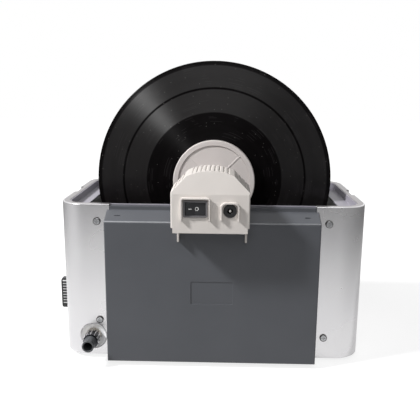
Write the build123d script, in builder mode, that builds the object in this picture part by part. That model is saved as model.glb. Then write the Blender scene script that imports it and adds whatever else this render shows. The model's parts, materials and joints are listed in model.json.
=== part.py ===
from build123d import *
from math import atan2, cos, degrees, radians, sin, tan
import os

# An ultrasonic record cleaning machine: a stainless tank hung in a rounded aluminium body,
# with a clip-on drive unit whose level spindle turns the record through the bath.
# Millimetres. +X to the right and -Y towards the viewer of the side with the grey cover,
# +Z up. The origin is on the floor, under the middle of the whole machine's outline.

# ---------------------------------------------------------------- sizes: body
deck_end_width = 27.0
deck_side_width = 24.0
body_corner = 31.0
foot_height = 6.0
shell_height = 190.0
shell_wall = 2.0
shell_edge_radius = 0.9
rim_width = 9.0
rim_height = 11.0
grip_length = 38.0
grip_drop = 8.0
grip_depth = 4.5
grip_corner = 5.0
seat_gap = 0.3

# ---------------------------------------------------------------- sizes: deck and tank
deck_drop = 9.0
liner_wall = 1.5
gasket_thickness = 1.0
gasket_width = 6.0
tank_end_clearance = 6.2
tank_width = 152.0
tank_corner = 18.0
tank_floor_corner = 8.0
tank_wall = 1.0
tank_flange = 8.0
tank_floor_height = 52.0
heater_length = 210.0
heater_height = 60.0
heater_thickness = 1.5

# ---------------------------------------------------------------- sizes: rear cover
cover_end_margin = 59.0
cover_depth = 20.0
cover_wall = 2.5
cover_lap = 3.0
cover_corner = 3.0
cover_foot_chamfer = 2.0
ledge_drop_back = 6.3
ledge_drop_front = 16.0
bend_radius = 5.0
upright_drop = 2.0
ledge_slot_length = 6.5
ledge_slot_width = 1.6
ledge_slot_inset = 14.5
label_field_width = 49.0
label_field_height = 27.5
label_field_depth = 0.5
label_field_height_above_floor = 95.0
window_sill = 14.0
board_boss_radius = 4.0
cover_screw_inset = 12.0
screw_hole_spare = 1.0
hollow_lap = 1.0

# ---------------------------------------------------------------- sizes: record and spindle
spindle_height_over_rim = 17.0
record_from_near_wall = 80.0
record_radius = 150.8
record_thickness = 2.0
record_groove_thickness = 1.5
record_edge_width = 2.2
label_radius = 50.0
spindle_radius = 3.5
running_clearance = 0.06
record_hole_clearance = 0.12
seal_thickness = 1.5
seal_inner_radius = 46.0
seal_width = 3.0
label_cover_radius = 52.5
label_cover_depth = 8.5
label_cover_band = 6.5
label_cover_dish = 3.0
label_cover_floor = 2.4
label_cover_edge = 1.0
rib_thickness = 2.0
rib_height = 2.2
rib_count = 4
hub_radius = 13.0
hub_collar_radius = 17.0
hub_collar_height = 5.0
hub_gap = 1.0
clamp_radius = 14.0
clamp_length = 16.0
clamp_flute_radius = 2.0
clamp_flute_count = 12
spindle_tail = 5.0

# ---------------------------------------------------------------- sizes: drive unit
drive_overhang = 28.0
drive_back_reach = 4.0
drive_half_width = 44.0
drive_middle = -1.8
drive_draft = 0.6
drive_wall = 2.2
drive_bottom_over_spindle = -38.6
drive_step_over_spindle = -33.4
drive_step_inset = 2.0
drive_crease_over_spindle = 4.7
drive_shoulder_over_spindle = 7.0
drive_knee_half_width = 26.5
drive_knee_over_spindle = 24.8
drive_peak_over_spindle = 30.6
drive_lean = 10.0
drive_front_radius = 1.5
roof_groove_width = 2.2
roof_groove_depth = 1.0
roof_groove_setback = 7.0
roof_groove_angle = 4.5
roof_groove_count = 9
slope_groove_count = 3
leg_thickness = 2.2
leg_depth = 7.0
leg_drop = 15.5
leg_spacing = 77.4
leg_root_width = 5.0
leg_root_height = 6.0
cover_clearance = 0.6
hood_depth = 3.5
hood_wall = 1.6
switch_hood_width = 32.5
switch_hood_height = 25.5
switch_hood_corner = 3.0
switch_x = -18.0
switch_bezel_width = 26.8
switch_bezel_height = 18.6
switch_bezel_depth = 1.8
switch_body_depth = 16.0
rocker_length = 22.0
rocker_height = 14.0
rocker_tilt = 16.0
rocker_ridge = 1.8
rocker_pin_length = 1.2
rocker_gap = 0.4
rocker_pivot_depth = 1.4
rocker_back = 2.0
rocker_pin_radius = 1.0
switch_over_spindle = -11.0
switch_hood_top_over_spindle = 1.4
switch_lap = 0.4
switch_blade_length = 6.0
switch_blade_thickness = 0.8
switch_blade_width = 4.8
switch_blade_pitch = 7.0
jack_hood_width = 20.6
jack_hood_height = 20.4
jack_hood_corner = 6.0
jack_x = 19.9
jack_over_spindle = -12.8
jack_hood_top_over_spindle = -3.4
jack_radius = 7.5
jack_barrel_radius = 5.5
jack_socket_radius = 3.2
jack_pin_radius = 1.0
jack_flange = 1.5
jack_barrel_length = 14.0
jack_nut_radius = 8.0
jack_nut_thickness = 2.5
motor_radius = 17.0
motor_length = 21.0
motor_offset = 8.0
shaft_engagement = 11.0
motor_ear_radius = 4.0
motor_ear_spacing = 43.0
motor_ear_thickness = 1.2
motor_edge_radius = 2.0
drive_boss_radius = 3.2
drive_boss_length = 12.0
boss_overlap = 0.6
bush_radius = 6.0
bush_flange_radius = 8.0
bush_flange = 1.0
jack_socket_depth = 10.0

# ---------------------------------------------------------------- sizes: drain
cock_from_tank_wall = 26.6
cock_height = 68.0
cock_radius = 9.0
cock_bore_radius = 6.0
cock_neck_radius = 4.8
cock_neck_end = 1.0
cock_wall = 2.0
cock_length = 16.0
cock_spigot_radius = 4.5
cock_spigot_length = 10.0
cock_port_radius = 3.2
port_nut_radius = 6.8
port_nut_thickness = 3.0
stem_radius = 4.0
stem_hole_clearance = 1.0
knob_length = 40.0
knob_width = 14.0
knob_corner = 4.0
knob_gap = 0.8
knob_reach = 11.2
knob_plate = 2.2
knob_groove_count = 9
knob_groove_pitch = 3.7
knob_groove_width = 1.6
knob_groove_depth = 2.0
knob_groove_lift = 2.4
knob_edge_radius = 2.0
nozzle_from_side = 38.5
nozzle_height = 30.0
nozzle_reach = 32.0
nozzle_tip_radius = 7.1
nozzle_root_radius = 8.2
nozzle_straight = 9.0
nozzle_bore_radius = 5.5
nozzle_flange_radius = 11.0
nozzle_flange = 2.0
nozzle_thread_radius = 6.6
nozzle_tail_length = 12.0
nozzle_tail_radius = 4.5
nozzle_bore_step = 1.0
hose_lead = 9.8
collar_radius = 9.4
collar_length = 8.0
collar_rib_count = 16
collar_rib_depth = 0.8
dish_radius = 16.0
dish_gap = 0.6
dish_depth = 3.0
dish_floor_radius = 11.0
dish_wall = 1.2
dish_flange = 1.2
dish_flange_width = 1.2
hose_outer_radius = 6.0
hose_bore_radius = 4.6
clip_width = 5.0
clip_wall = 0.8

# ---------------------------------------------------------------- sizes: base, feet, screws
base_thickness = 1.5
base_flange = 6.0
base_clearance = 0.2
vent_length = 34.0
vent_width = 3.0
vent_count = 6
vent_pitch = 8.0
foot_radius = 10.0
foot_taper = 3.0
foot_inset_x = 36.0
foot_inset_y = 30.0
foot_screw_radius = 2.0
foot_screw_head_radius = 3.6
foot_screw_recess = 3.0
foot_screw_head = 1.5
foot_screw_end = 1.0
shell_screw_radius = 2.0
shell_screw_head_radius = 4.3
shell_screw_head = 1.6
shell_screw_crown = 1.3
shell_screw_length = 9.0
cross_length = 4.4
cross_width = 1.0
shell_screw_beside_cover = 12.0
upper_screw_drop = 20.5
left_lower_screw_height = 51.5
right_lower_screw_height = 32.5
screw_hole_clearance = 0.2
thread_clearance = 0.05
bracket_width = 18.0
bracket_depth = 9.0
bracket_wall = 1.2
cover_screw_height = 15.5

# ---------------------------------------------------------------- sizes: electronics
transducer_count = 3
transducer_spacing = 92.0
horn_top_radius = 22.0
horn_bottom_radius = 16.5
horn_height = 17.0
piezo_radius = 17.0
piezo_thickness = 4.6
piezo_contact_lap = 1.0
piezo_contact_thickness = 0.3
tail_mass_height = 9.0
tail_bolt_radius = 6.0
tail_bolt_height = 3.0
board_width = 180.0
board_height = 110.0
board_thickness = 1.6
board_middle_height = 100.0
board_standoff = 6.0
board_screw_inset = 7.0
board_screw_radius = 1.6
board_screw_head_radius = 3.0
board_screw_head = 1.8
heat_sink_x = -45.0
heat_sink_width = 70.0
heat_sink_height = 40.0
heat_sink_base = 3.0
heat_sink_fin_height = 12.0
heat_sink_fin_count = 9
heat_sink_fin_thickness = 1.5
transformer_x = 30.0
transformer_width = 42.0
transformer_height = 36.0
transformer_depth = 14.0
transformer_coil = 5.0
panel_end_margin = 13.0
panel_height = 66.0
panel_corner = 9.0
panel_proud = 1.5
panel_plug = 2.5
panel_lip = 6.0
panel_middle_height = 112.0
display_width = 46.0
display_height = 20.0
display_spacing = 78.0
display_lift = 12.0
window_thickness = 1.0
window_seat = 2.0
display_gap = 0.5
control_board_setback = 9.0
control_board_height = 50.0
panel_boss_inset = 5.0
panel_boss_lift = 20.0
panel_boss_radius = 3.0
panel_boss_gap = 2.0
key_switch_width = 6.0
key_switch_height = 3.0
key_radius = 6.0
key_row_drop = 16.0
key_pitch = 39.0
key_proud = 1.2
key_clearance = 0.3
key_flange = 1.0
key_flange_width = 1.0
key_travel = 0.8
inlet_y = -20.0
inlet_height = 36.0
inlet_width = 27.0
inlet_tall = 20.0
inlet_flange = 1.5
inlet_flange_lap = 3.0
inlet_body_depth = 17.5
inlet_recess_width = 24.6
inlet_recess_tall = 17.2
inlet_recess_depth = 15.0
inlet_recess_corner = 4.5
inlet_pin_width = 4.0
inlet_pin_thickness = 2.0
inlet_pin_pitch = 7.0
inlet_earth_lift = 4.0

# ---------------------------------------------------------------- places worked out from the sizes
tank_length = 2 * (record_radius + tank_end_clearance)
body_width = tank_length + 2 * deck_end_width
body_depth = tank_width + 2 * deck_side_width
cover_width = body_width - 2 * cover_end_margin
shell_screw_x = cover_width / 2 + shell_screw_beside_cover
left_reach = body_width / 2 + knob_gap + knob_reach
right_reach = body_width / 2 + inlet_flange
near_reach = body_depth / 2 + cover_depth + drive_overhang + hood_depth
far_reach = body_depth / 2 + panel_proud + key_proud
body_x = (left_reach - right_reach) / 2
body_y = (near_reach - far_reach) / 2

shell_z = foot_height
rim_z = shell_z + shell_height
deck_z = rim_z - deck_drop
tank_top_z = deck_z - liner_wall - gasket_thickness
spindle_z = rim_z + spindle_height_over_rim
near_wall = -body_depth / 2
far_wall = body_depth / 2
left_wall = -body_width / 2
right_wall = body_width / 2
nozzle_x = left_wall + nozzle_from_side
cock_y = cock_from_tank_wall - tank_width / 2
upper_screw_height = rim_z - upper_screw_drop
notch_half_width = cover_width / 2 - cover_lap
cover_face = near_wall - cover_depth
drive_face = cover_face - drive_overhang
drive_back = near_wall + drive_back_reach
record_offset = near_wall + record_from_near_wall
record_near = record_offset - record_thickness / 2
record_far = record_offset + record_thickness / 2


def level(z):
    """Horizontal plane at height z, centred on the body."""
    return Plane((body_x, body_y, z))


def facing(y):
    """Upright plane at y from the body's middle: x to the right, y up, normal to the viewer."""
    return Plane((body_x, body_y + y, 0), x_dir=(1, 0, 0), z_dir=(0, -1, 0))


def side(x):
    """Upright plane at x from the body's middle: x to the far side, y up, normal to the right."""
    return Plane((body_x + x, body_y, 0), x_dir=(0, 1, 0), z_dir=(1, 0, 0))


def outline(*points):
    """Closed profile with straight sides, in the sketch that is open."""
    Polygon(*points, align=None)


def turned(axis_height, *points):
    """Half section of a turned piece, from (place along its axis, radius) points."""
    Polygon(*[(along, axis_height + radius) for along, radius in points], align=None)


def body_plan(inset):
    """The body's rounded plan, drawn in by inset, in the sketch that is open."""
    RectangleRounded(body_width - 2 * inset, body_depth - 2 * inset, body_corner - inset)


def body_plan_cut(inset):
    """The same plan taken away from the sketch that is open."""
    RectangleRounded(
        body_width - 2 * inset, body_depth - 2 * inset, body_corner - inset, mode=Mode.SUBTRACT
    )


def save(builder, name):
    """Labels a finished piece and writes it under its own name."""
    builder.part.label = name
    export_step(builder.part, f"parts/{name}.step")


def axis_along_y(x, z):
    """Line along Y at x from the body's middle and height z."""
    return Axis((body_x + x, body_y, z), (0, 1, 0))


spindle_axis = axis_along_y(0, spindle_z)

# ================================================================ outer shell
# A rounded aluminium wrap, open above and below, with its near wall cut out behind the cover.
screw_places = [
    (-shell_screw_x, upper_screw_height),
    (shell_screw_x, upper_screw_height),
    (-shell_screw_x, left_lower_screw_height),
    (shell_screw_x, right_lower_screw_height),
]
cover_screw_places = [
    (x * (notch_half_width - cover_screw_inset), cover_screw_height) for x in (-1, 1)
]
panel_boss_x = 2 * key_pitch + key_radius + key_flange_width + panel_boss_gap + panel_boss_radius
control_board_width = 2 * (panel_boss_x + panel_boss_inset)
panel_width = control_board_width + 2 * panel_end_margin
panel_cut_width = panel_width - 2 * panel_lip
panel_cut_height = panel_height - 2 * panel_lip

with BuildPart() as outer_shell:
    with BuildSketch(level(shell_z)):
        body_plan(0)
        body_plan_cut(shell_wall)
    extrude(amount=shell_height)
    fillet(outer_shell.faces().sort_by(Axis.Z)[-1].outer_wire().edges(), shell_edge_radius)
    with BuildSketch(facing(near_wall)):
        with Locations((0, shell_z + window_sill)):
            Rectangle(2 * notch_half_width, 2 * shell_height, align=(Align.CENTER, Align.MIN))
    extrude(amount=2 * shell_wall, both=True, mode=Mode.SUBTRACT)
    with BuildSketch(facing(near_wall)):
        with Locations(*screw_places):
            Circle(shell_screw_radius + screw_hole_clearance)
        with Locations(*cover_screw_places):
            Circle(board_screw_radius + screw_hole_clearance)
        with Locations((nozzle_x, nozzle_height)):
            Circle(dish_radius + dish_gap)
    extrude(amount=3 * shell_wall, both=True, mode=Mode.SUBTRACT)
    with BuildSketch(facing(far_wall)):
        with Locations((0, panel_middle_height)):
            RectangleRounded(panel_cut_width, panel_cut_height, panel_corner / 2)
    extrude(amount=2 * shell_wall, both=True, mode=Mode.SUBTRACT)
    with BuildSketch(side(left_wall)):
        with Locations((cock_y, cock_height)):
            Circle(stem_radius + stem_hole_clearance)
    extrude(amount=2 * shell_wall, both=True, mode=Mode.SUBTRACT)
    with BuildSketch(side(right_wall)):
        with Locations((inlet_y, inlet_height)):
            Rectangle(inlet_width + seat_gap, inlet_tall + seat_gap)
    extrude(amount=2 * shell_wall, both=True, mode=Mode.SUBTRACT)
    for wall in (left_wall, right_wall):
        with BuildSketch(side(wall)):
            with Locations((0, rim_z)):
                RectangleRounded(grip_length, 2 * grip_drop, grip_corner)
        extrude(amount=2 * shell_wall, both=True, mode=Mode.SUBTRACT)
save(outer_shell, "outer_shell")

# ================================================================ top rim
# The silver ring inside the shell's upper edge. It is scooped on both sides for the fingers
# and stops on each side of the rear cover's upright.
with BuildPart() as top_rim:
    with BuildSketch(level(rim_z - rim_height)):
        body_plan(shell_wall)
        body_plan_cut(rim_width)
    extrude(amount=rim_height)
    fillet(top_rim.faces().sort_by(Axis.Z)[-1].inner_wires()[0].edges(), shell_edge_radius)
    with BuildSketch(level(rim_z - rim_height)):
        with Locations((0, near_wall)):
            Rectangle(2 * notch_half_width, 2 * rim_width)
    extrude(amount=2 * rim_height, mode=Mode.SUBTRACT)
    for wall in (left_wall, right_wall):
        with BuildSketch(side(wall)):
            with Locations((0, rim_z)):
                RectangleRounded(grip_length, 2 * grip_drop, grip_corner)
        extrude(amount=grip_depth, both=True, mode=Mode.SUBTRACT)
save(top_rim, "top_rim")

# ================================================================ deck liner
# Grey moulded tray inside the rim, with the tank's mouth in its floor.
with BuildPart() as deck_liner:
    with BuildSketch(level(deck_z - liner_wall)):
        body_plan(rim_width)
    extrude(amount=rim_z - shell_edge_radius - deck_z + liner_wall)
    with BuildSketch(level(deck_z)):
        body_plan(rim_width + liner_wall)
    extrude(amount=shell_height, mode=Mode.SUBTRACT)
    with BuildSketch(level(deck_z - 2 * liner_wall)):
        RectangleRounded(tank_length, tank_width, tank_corner)
    extrude(amount=4 * liner_wall, mode=Mode.SUBTRACT)
save(deck_liner, "deck_liner")

# ================================================================ tank gasket, tank
# Deep-drawn stainless tank that hangs by its flange under the deck.
flange_length = tank_length + 2 * tank_flange
flange_width = tank_width + 2 * tank_flange

with BuildPart() as tank_gasket:
    with BuildSketch(level(tank_top_z)):
        RectangleRounded(
            tank_length + 2 * gasket_width, tank_width + 2 * gasket_width, tank_corner + gasket_width
        )
        RectangleRounded(tank_length, tank_width, tank_corner, mode=Mode.SUBTRACT)
    extrude(amount=gasket_thickness)
save(tank_gasket, "tank_gasket")

with BuildPart() as tank:
    with BuildSketch(level(tank_floor_height - tank_wall)):
        RectangleRounded(
            tank_length + 2 * tank_wall, tank_width + 2 * tank_wall, tank_corner + tank_wall
        )
    extrude(amount=tank_top_z - tank_floor_height + tank_wall)
    fillet(tank.faces().sort_by(Axis.Z)[0].edges(), tank_floor_corner + tank_wall)
    offset(amount=-tank_wall, openings=tank.faces().sort_by(Axis.Z)[-1])
    with BuildSketch(level(tank_top_z - tank_wall)):
        RectangleRounded(flange_length, flange_width, tank_corner + tank_flange)
        RectangleRounded(tank_length, tank_width, tank_corner, mode=Mode.SUBTRACT)
    extrude(amount=tank_wall)
    with BuildSketch(side(-tank_length / 2)):
        with Locations((cock_y, cock_height)):
            Circle(cock_bore_radius - tank_wall)
    extrude(amount=3 * tank_wall, both=True, mode=Mode.SUBTRACT)
save(tank, "tank")

# ================================================================ heater pad
# Silicone heating mat bonded to the tank's far long wall.
with BuildPart() as heater_pad:
    with BuildSketch(facing(tank_width / 2 + tank_wall)):
        with Locations((0, tank_floor_height + tank_floor_corner)):
            Rectangle(heater_length, heater_height, align=(Align.CENTER, Align.MIN))
    extrude(amount=-heater_thickness)
save(heater_pad, "heater_pad")

# ================================================================ transducers
# Bolt-clamped transducers bonded under the tank's floor, each a flared aluminium horn,
# a stack of ceramic rings and a steel tail mass with its bolt.
horn_z = tank_floor_height - tank_wall - horn_height
piezo_z = horn_z - 2 * piezo_thickness
tail_z = piezo_z - tail_mass_height
transducer_places = [
    ((index - (transducer_count - 1) / 2) * transducer_spacing, 0) for index in range(transducer_count)
]

with BuildPart() as transducer_horns:
    with BuildSketch(level(horn_z)):
        with Locations(*transducer_places):
            Circle(horn_bottom_radius)
    flare = degrees(atan2(horn_top_radius - horn_bottom_radius, horn_height))
    extrude(amount=horn_height, taper=-flare)
save(transducer_horns, "transducer_horns")

with BuildPart() as piezo_rings:
    with BuildSketch(level(piezo_z)):
        with Locations(*transducer_places):
            Circle(piezo_radius)
    extrude(amount=2 * piezo_thickness)
    with BuildSketch(level(piezo_z + piezo_thickness)):
        with Locations(*transducer_places):
            Circle(piezo_radius + piezo_contact_lap)
            Circle(piezo_radius - piezo_contact_lap, mode=Mode.SUBTRACT)
    extrude(amount=piezo_contact_thickness, mode=Mode.SUBTRACT)
save(piezo_rings, "piezo_rings")

with BuildPart() as transducer_tails:
    with BuildSketch(level(tail_z)):
        with Locations(*transducer_places):
            Circle(piezo_radius)
    extrude(amount=tail_mass_height)
    with BuildSketch(level(tail_z)):
        with Locations(*transducer_places):
            RegularPolygon(tail_bolt_radius, 6)
    extrude(amount=-tail_bolt_height)
save(transducer_tails, "transducer_tails")

# ================================================================ base plate, feet
# Folded steel tray that closes the body from below, with vents and four rubber feet.
foot_places = [
    (x * (body_width / 2 - foot_inset_x), y * (body_depth / 2 - foot_inset_y))
    for x in (-1, 1)
    for y in (-1, 1)
]
base_inset = shell_wall + base_clearance

with BuildPart() as base_plate:
    with BuildSketch(level(shell_z)):
        body_plan(base_inset)
    extrude(amount=base_flange)
    with BuildSketch(level(shell_z + base_thickness)):
        body_plan(base_inset + base_thickness)
    extrude(amount=base_flange, mode=Mode.SUBTRACT)
    with BuildSketch(level(shell_z)):
        with Locations(*foot_places):
            Circle(foot_screw_radius + screw_hole_clearance)
        with Locations((-transducer_spacing / 2, 0), (transducer_spacing / 2, 0)):
            with GridLocations(0, vent_pitch, 1, vent_count):
                SlotOverall(vent_length, vent_width)
    extrude(amount=base_thickness, mode=Mode.SUBTRACT)
save(base_plate, "base_plate")

with BuildPart() as feet:
    with BuildSketch(level(0)):
        with Locations(*foot_places):
            Circle(foot_radius)
    extrude(amount=foot_height, taper=-foot_taper)
    with BuildSketch(level(0)):
        with Locations(*foot_places):
            Circle(foot_screw_head_radius + screw_hole_clearance)
    extrude(amount=foot_screw_recess, mode=Mode.SUBTRACT)
    with BuildSketch(level(0)):
        with Locations(*foot_places):
            Circle(foot_screw_radius + screw_hole_clearance)
    extrude(amount=foot_height, mode=Mode.SUBTRACT)
save(feet, "feet")

with BuildPart() as foot_screws:
    with BuildSketch(level(foot_screw_recess - foot_screw_head)):
        with Locations(*foot_places):
            Circle(foot_screw_head_radius)
    extrude(amount=foot_screw_head)
    with BuildSketch(level(foot_screw_recess)):
        with Locations(*foot_places):
            Circle(foot_screw_radius)
    extrude(amount=foot_height + base_thickness + foot_screw_end - foot_screw_recess)
save(foot_screws, "foot_screws")

# ================================================================ rear cover
# Grey moulding that bulges out of the near wall over the electronics. A flat upright fills
# the shell's notch, a sloping ledge runs down from it, and the face is plain.
ledge_back_z = rim_z - ledge_drop_back
ledge_front_z = rim_z - ledge_drop_front
ledge_slope = atan2(ledge_back_z - ledge_front_z, cover_depth)
ledge_wall = cover_wall / cos(ledge_slope)
upright_top_z = rim_z - upright_drop
board_screw_x = board_width / 2 - board_screw_inset
board_screw_z = board_height / 2 - board_screw_inset
board_places = [
    (x * board_screw_x, board_middle_height + z * board_screw_z) for x in (-1, 1) for z in (-1, 1)
]
board_y = cover_face + cover_wall + board_standoff

with BuildPart() as cover_hollow:
    with BuildSketch(side(0)):
        outline(
            (near_wall + hollow_lap, shell_z + cover_wall),
            (cover_face + cover_wall, shell_z + cover_wall),
            (cover_face + cover_wall, ledge_front_z - ledge_wall + cover_wall * sin(ledge_slope)),
            (near_wall, ledge_back_z - ledge_wall),
            (near_wall + hollow_lap, ledge_back_z - ledge_wall),
        )
    extrude(amount=cover_width / 2 - cover_wall, both=True)

with BuildPart() as rear_cover:
    with BuildSketch(side(0)):
        outline(
            (near_wall, shell_z),
            (cover_face, shell_z),
            (cover_face, ledge_front_z),
            (near_wall, ledge_back_z),
        )
    extrude(amount=cover_width / 2, both=True)
    front_edges = rear_cover.faces().sort_by(Axis.Y)[0].edges()
    fillet(front_edges.sort_by(Axis.Z)[-1], bend_radius)
    chamfer(rear_cover.faces().sort_by(Axis.Y)[0].edges().sort_by(Axis.Z)[0], cover_foot_chamfer)
    upright_edges = rear_cover.edges().filter_by(Axis.Z).group_by(Axis.Y)[0]
    fillet(upright_edges, cover_corner / 2)
    add(cover_hollow.part, mode=Mode.SUBTRACT)
    with BuildSketch(side(0)):
        outline(
            (near_wall, ledge_back_z - ledge_wall),
            (near_wall, upright_top_z),
            (near_wall + rim_width, upright_top_z),
            (near_wall + rim_width, upright_top_z - cover_wall),
            (near_wall + cover_wall, upright_top_z - cover_wall),
            (near_wall + cover_wall, ledge_back_z - ledge_wall),
        )
    extrude(amount=notch_half_width - seat_gap, both=True)
    with BuildSketch(facing(cover_face)):
        with Locations((0, label_field_height_above_floor)):
            RectangleRounded(label_field_width, label_field_height, cover_corner / 2)
    extrude(amount=-label_field_depth, mode=Mode.SUBTRACT)
    with BuildSketch(level(ledge_front_z)):
        with Locations((0, (near_wall + cover_face) / 2)):
            with GridLocations(cover_width - 2 * ledge_slot_inset, 0, 2, 1):
                Rectangle(ledge_slot_length, ledge_slot_width)
    extrude(amount=ledge_drop_front, mode=Mode.SUBTRACT)
    with BuildSketch(facing(cover_face + cover_wall)):
        with Locations(*board_places):
            Circle(board_boss_radius)
    extrude(amount=-board_standoff)
    with BuildSketch(facing(cover_face + cover_wall)):
        with Locations(*cover_screw_places):
            Circle(board_boss_radius)
    extrude(amount=near_wall - cover_face - cover_wall, dir=(0, 1, 0))
    with BuildSketch(facing(board_y)):
        with Locations(*board_places):
            Circle(board_screw_radius + thread_clearance)
    extrude(amount=board_standoff, mode=Mode.SUBTRACT)
    with BuildSketch(facing(near_wall)):
        with Locations(*cover_screw_places):
            Circle(board_screw_radius + thread_clearance)
    extrude(amount=cover_depth / 2 + screw_hole_spare, mode=Mode.SUBTRACT)
save(rear_cover, "rear_cover")

with BuildPart() as cover_screws:
    with BuildSketch(facing(near_wall + shell_wall)):
        with Locations(*cover_screw_places):
            Circle(board_screw_radius)
    extrude(amount=shell_wall + cover_depth / 2)
    with BuildSketch(facing(near_wall + shell_wall)):
        with Locations(*cover_screw_places):
            Circle(board_screw_head_radius)
    extrude(amount=-board_screw_head)
save(cover_screws, "cover_screws")

# ================================================================ rear brackets, shell screws
# Folded steel strips behind the near wall, into which the four cross-head screws go.
strip_top_z = rim_z - rim_height
dish_flange_radius = dish_radius + dish_gap + dish_flange_width
strip_bottoms = {-1: nozzle_height + dish_flange_radius + seat_gap, 1: shell_z + base_flange}

with BuildPart() as rear_brackets:
    for hand, bottom in strip_bottoms.items():
        with BuildSketch(level(bottom)):
            with Locations((hand * shell_screw_x, near_wall + shell_wall)):
                Rectangle(bracket_width, bracket_wall, align=(Align.CENTER, Align.MIN))
            with Locations((hand * (shell_screw_x + bracket_width / 2), near_wall + shell_wall)):
                Rectangle(2 * bracket_wall, bracket_depth, align=(Align.CENTER, Align.MIN))
        extrude(amount=strip_top_z - bottom)
    with BuildSketch(facing(near_wall)):
        with Locations(*screw_places):
            Circle(shell_screw_radius + thread_clearance)
    extrude(amount=-bracket_depth, mode=Mode.SUBTRACT)
save(rear_brackets, "rear_brackets")

with BuildPart() as shell_screws:
    with BuildSketch(facing(near_wall)):
        with Locations(*screw_places):
            Circle(shell_screw_radius)
    extrude(amount=-shell_screw_length)
    with BuildSketch(facing(near_wall)):
        with Locations(*screw_places):
            Circle(shell_screw_head_radius)
    extrude(amount=shell_screw_head)
    rims = shell_screws.edges().filter_by(GeomType.CIRCLE).group_by(Axis.Y)[0]
    fillet(rims, shell_screw_crown)
    with BuildSketch(facing(near_wall - shell_screw_head)):
        with Locations(*screw_places):
            Rectangle(cross_length, cross_width)
            Rectangle(cross_width, cross_length)
    extrude(amount=-shell_screw_head / 2, mode=Mode.SUBTRACT)
save(shell_screws, "shell_screws")

# ================================================================ generator board
# The ultrasonic generator's board, screwed to four bosses inside the rear cover. It carries
# a finned heat sink and the output transformer.
board_back_y = board_y + board_thickness

with BuildPart() as generator_board:
    with BuildSketch(facing(board_y)):
        with Locations((0, board_middle_height)):
            Rectangle(board_width, board_height)
        with Locations(*board_places):
            Circle(board_screw_radius + screw_hole_clearance, mode=Mode.SUBTRACT)
    extrude(amount=-board_thickness)
save(generator_board, "generator_board")

with BuildPart() as board_screws:
    with BuildSketch(facing(board_back_y)):
        with Locations(*board_places):
            Circle(board_screw_radius)
    extrude(amount=board_thickness + board_standoff)
    with BuildSketch(facing(board_back_y)):
        with Locations(*board_places):
            Circle(board_screw_head_radius)
    extrude(amount=-board_screw_head)
save(board_screws, "board_screws")

with BuildPart() as heat_sink:
    with BuildSketch(level(board_middle_height - heat_sink_height / 2)):
        with Locations((heat_sink_x, board_back_y)):
            Rectangle(heat_sink_width, heat_sink_base, align=(Align.CENTER, Align.MIN))
        fin_pitch = (heat_sink_width - heat_sink_fin_thickness) / (heat_sink_fin_count - 1)
        fin_height = heat_sink_base + heat_sink_fin_height
        with Locations((heat_sink_x, board_back_y + fin_height / 2)):
            with GridLocations(fin_pitch, 0, heat_sink_fin_count, 1):
                Rectangle(heat_sink_fin_thickness, fin_height)
    extrude(amount=heat_sink_height)
save(heat_sink, "heat_sink")

transformer_middle_y = board_back_y + transformer_coil + transformer_depth / 2
leg_width = transformer_width / 6

with BuildPart() as transformer_core:
    with BuildSketch(facing(transformer_middle_y)):
        with Locations((transformer_x, board_middle_height)):
            Rectangle(transformer_width, transformer_height)
            with GridLocations(3 * leg_width, 0, 2, 1):
                Rectangle(leg_width, transformer_height - 2 * leg_width, mode=Mode.SUBTRACT)
    extrude(amount=transformer_depth / 2, both=True)
save(transformer_core, "transformer_core")

with BuildPart() as transformer_coil_winding:
    with BuildSketch(level(board_middle_height)):
        with Locations((transformer_x, transformer_middle_y)):
            RectangleRounded(
                4 * leg_width - 2 * seat_gap, transformer_depth + 2 * transformer_coil, leg_width / 2
            )
            Rectangle(
                2 * leg_width + 2 * seat_gap, transformer_depth + 2 * seat_gap, mode=Mode.SUBTRACT
            )
    extrude(amount=transformer_height / 2 - leg_width - seat_gap, both=True)
save(transformer_coil_winding, "transformer_coil")

# ================================================================ control panel
# Flush moulded panel in the far wall with two display windows and a row of five round keys.
# It carries the small board with the digits and the switches behind the keys.
panel_back_y = far_wall - panel_plug
control_board_y = far_wall - control_board_setback
display_height_above_floor = panel_middle_height + display_lift
key_height = panel_middle_height - key_row_drop
display_places = [(x * display_spacing / 2, display_height_above_floor) for x in (-1, 1)]
key_names = ["power_key", "time_down_key", "time_up_key", "heat_down_key", "heat_up_key"]
key_xs = [(index - (len(key_names) - 1) / 2) * key_pitch for index in range(len(key_names))]
key_places = [(x, key_height) for x in key_xs]
panel_boss_places = [
    (x * panel_boss_x, panel_middle_height + z * panel_boss_lift)
    for x in (-1, 1)
    for z in (-1, 1)
]

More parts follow.
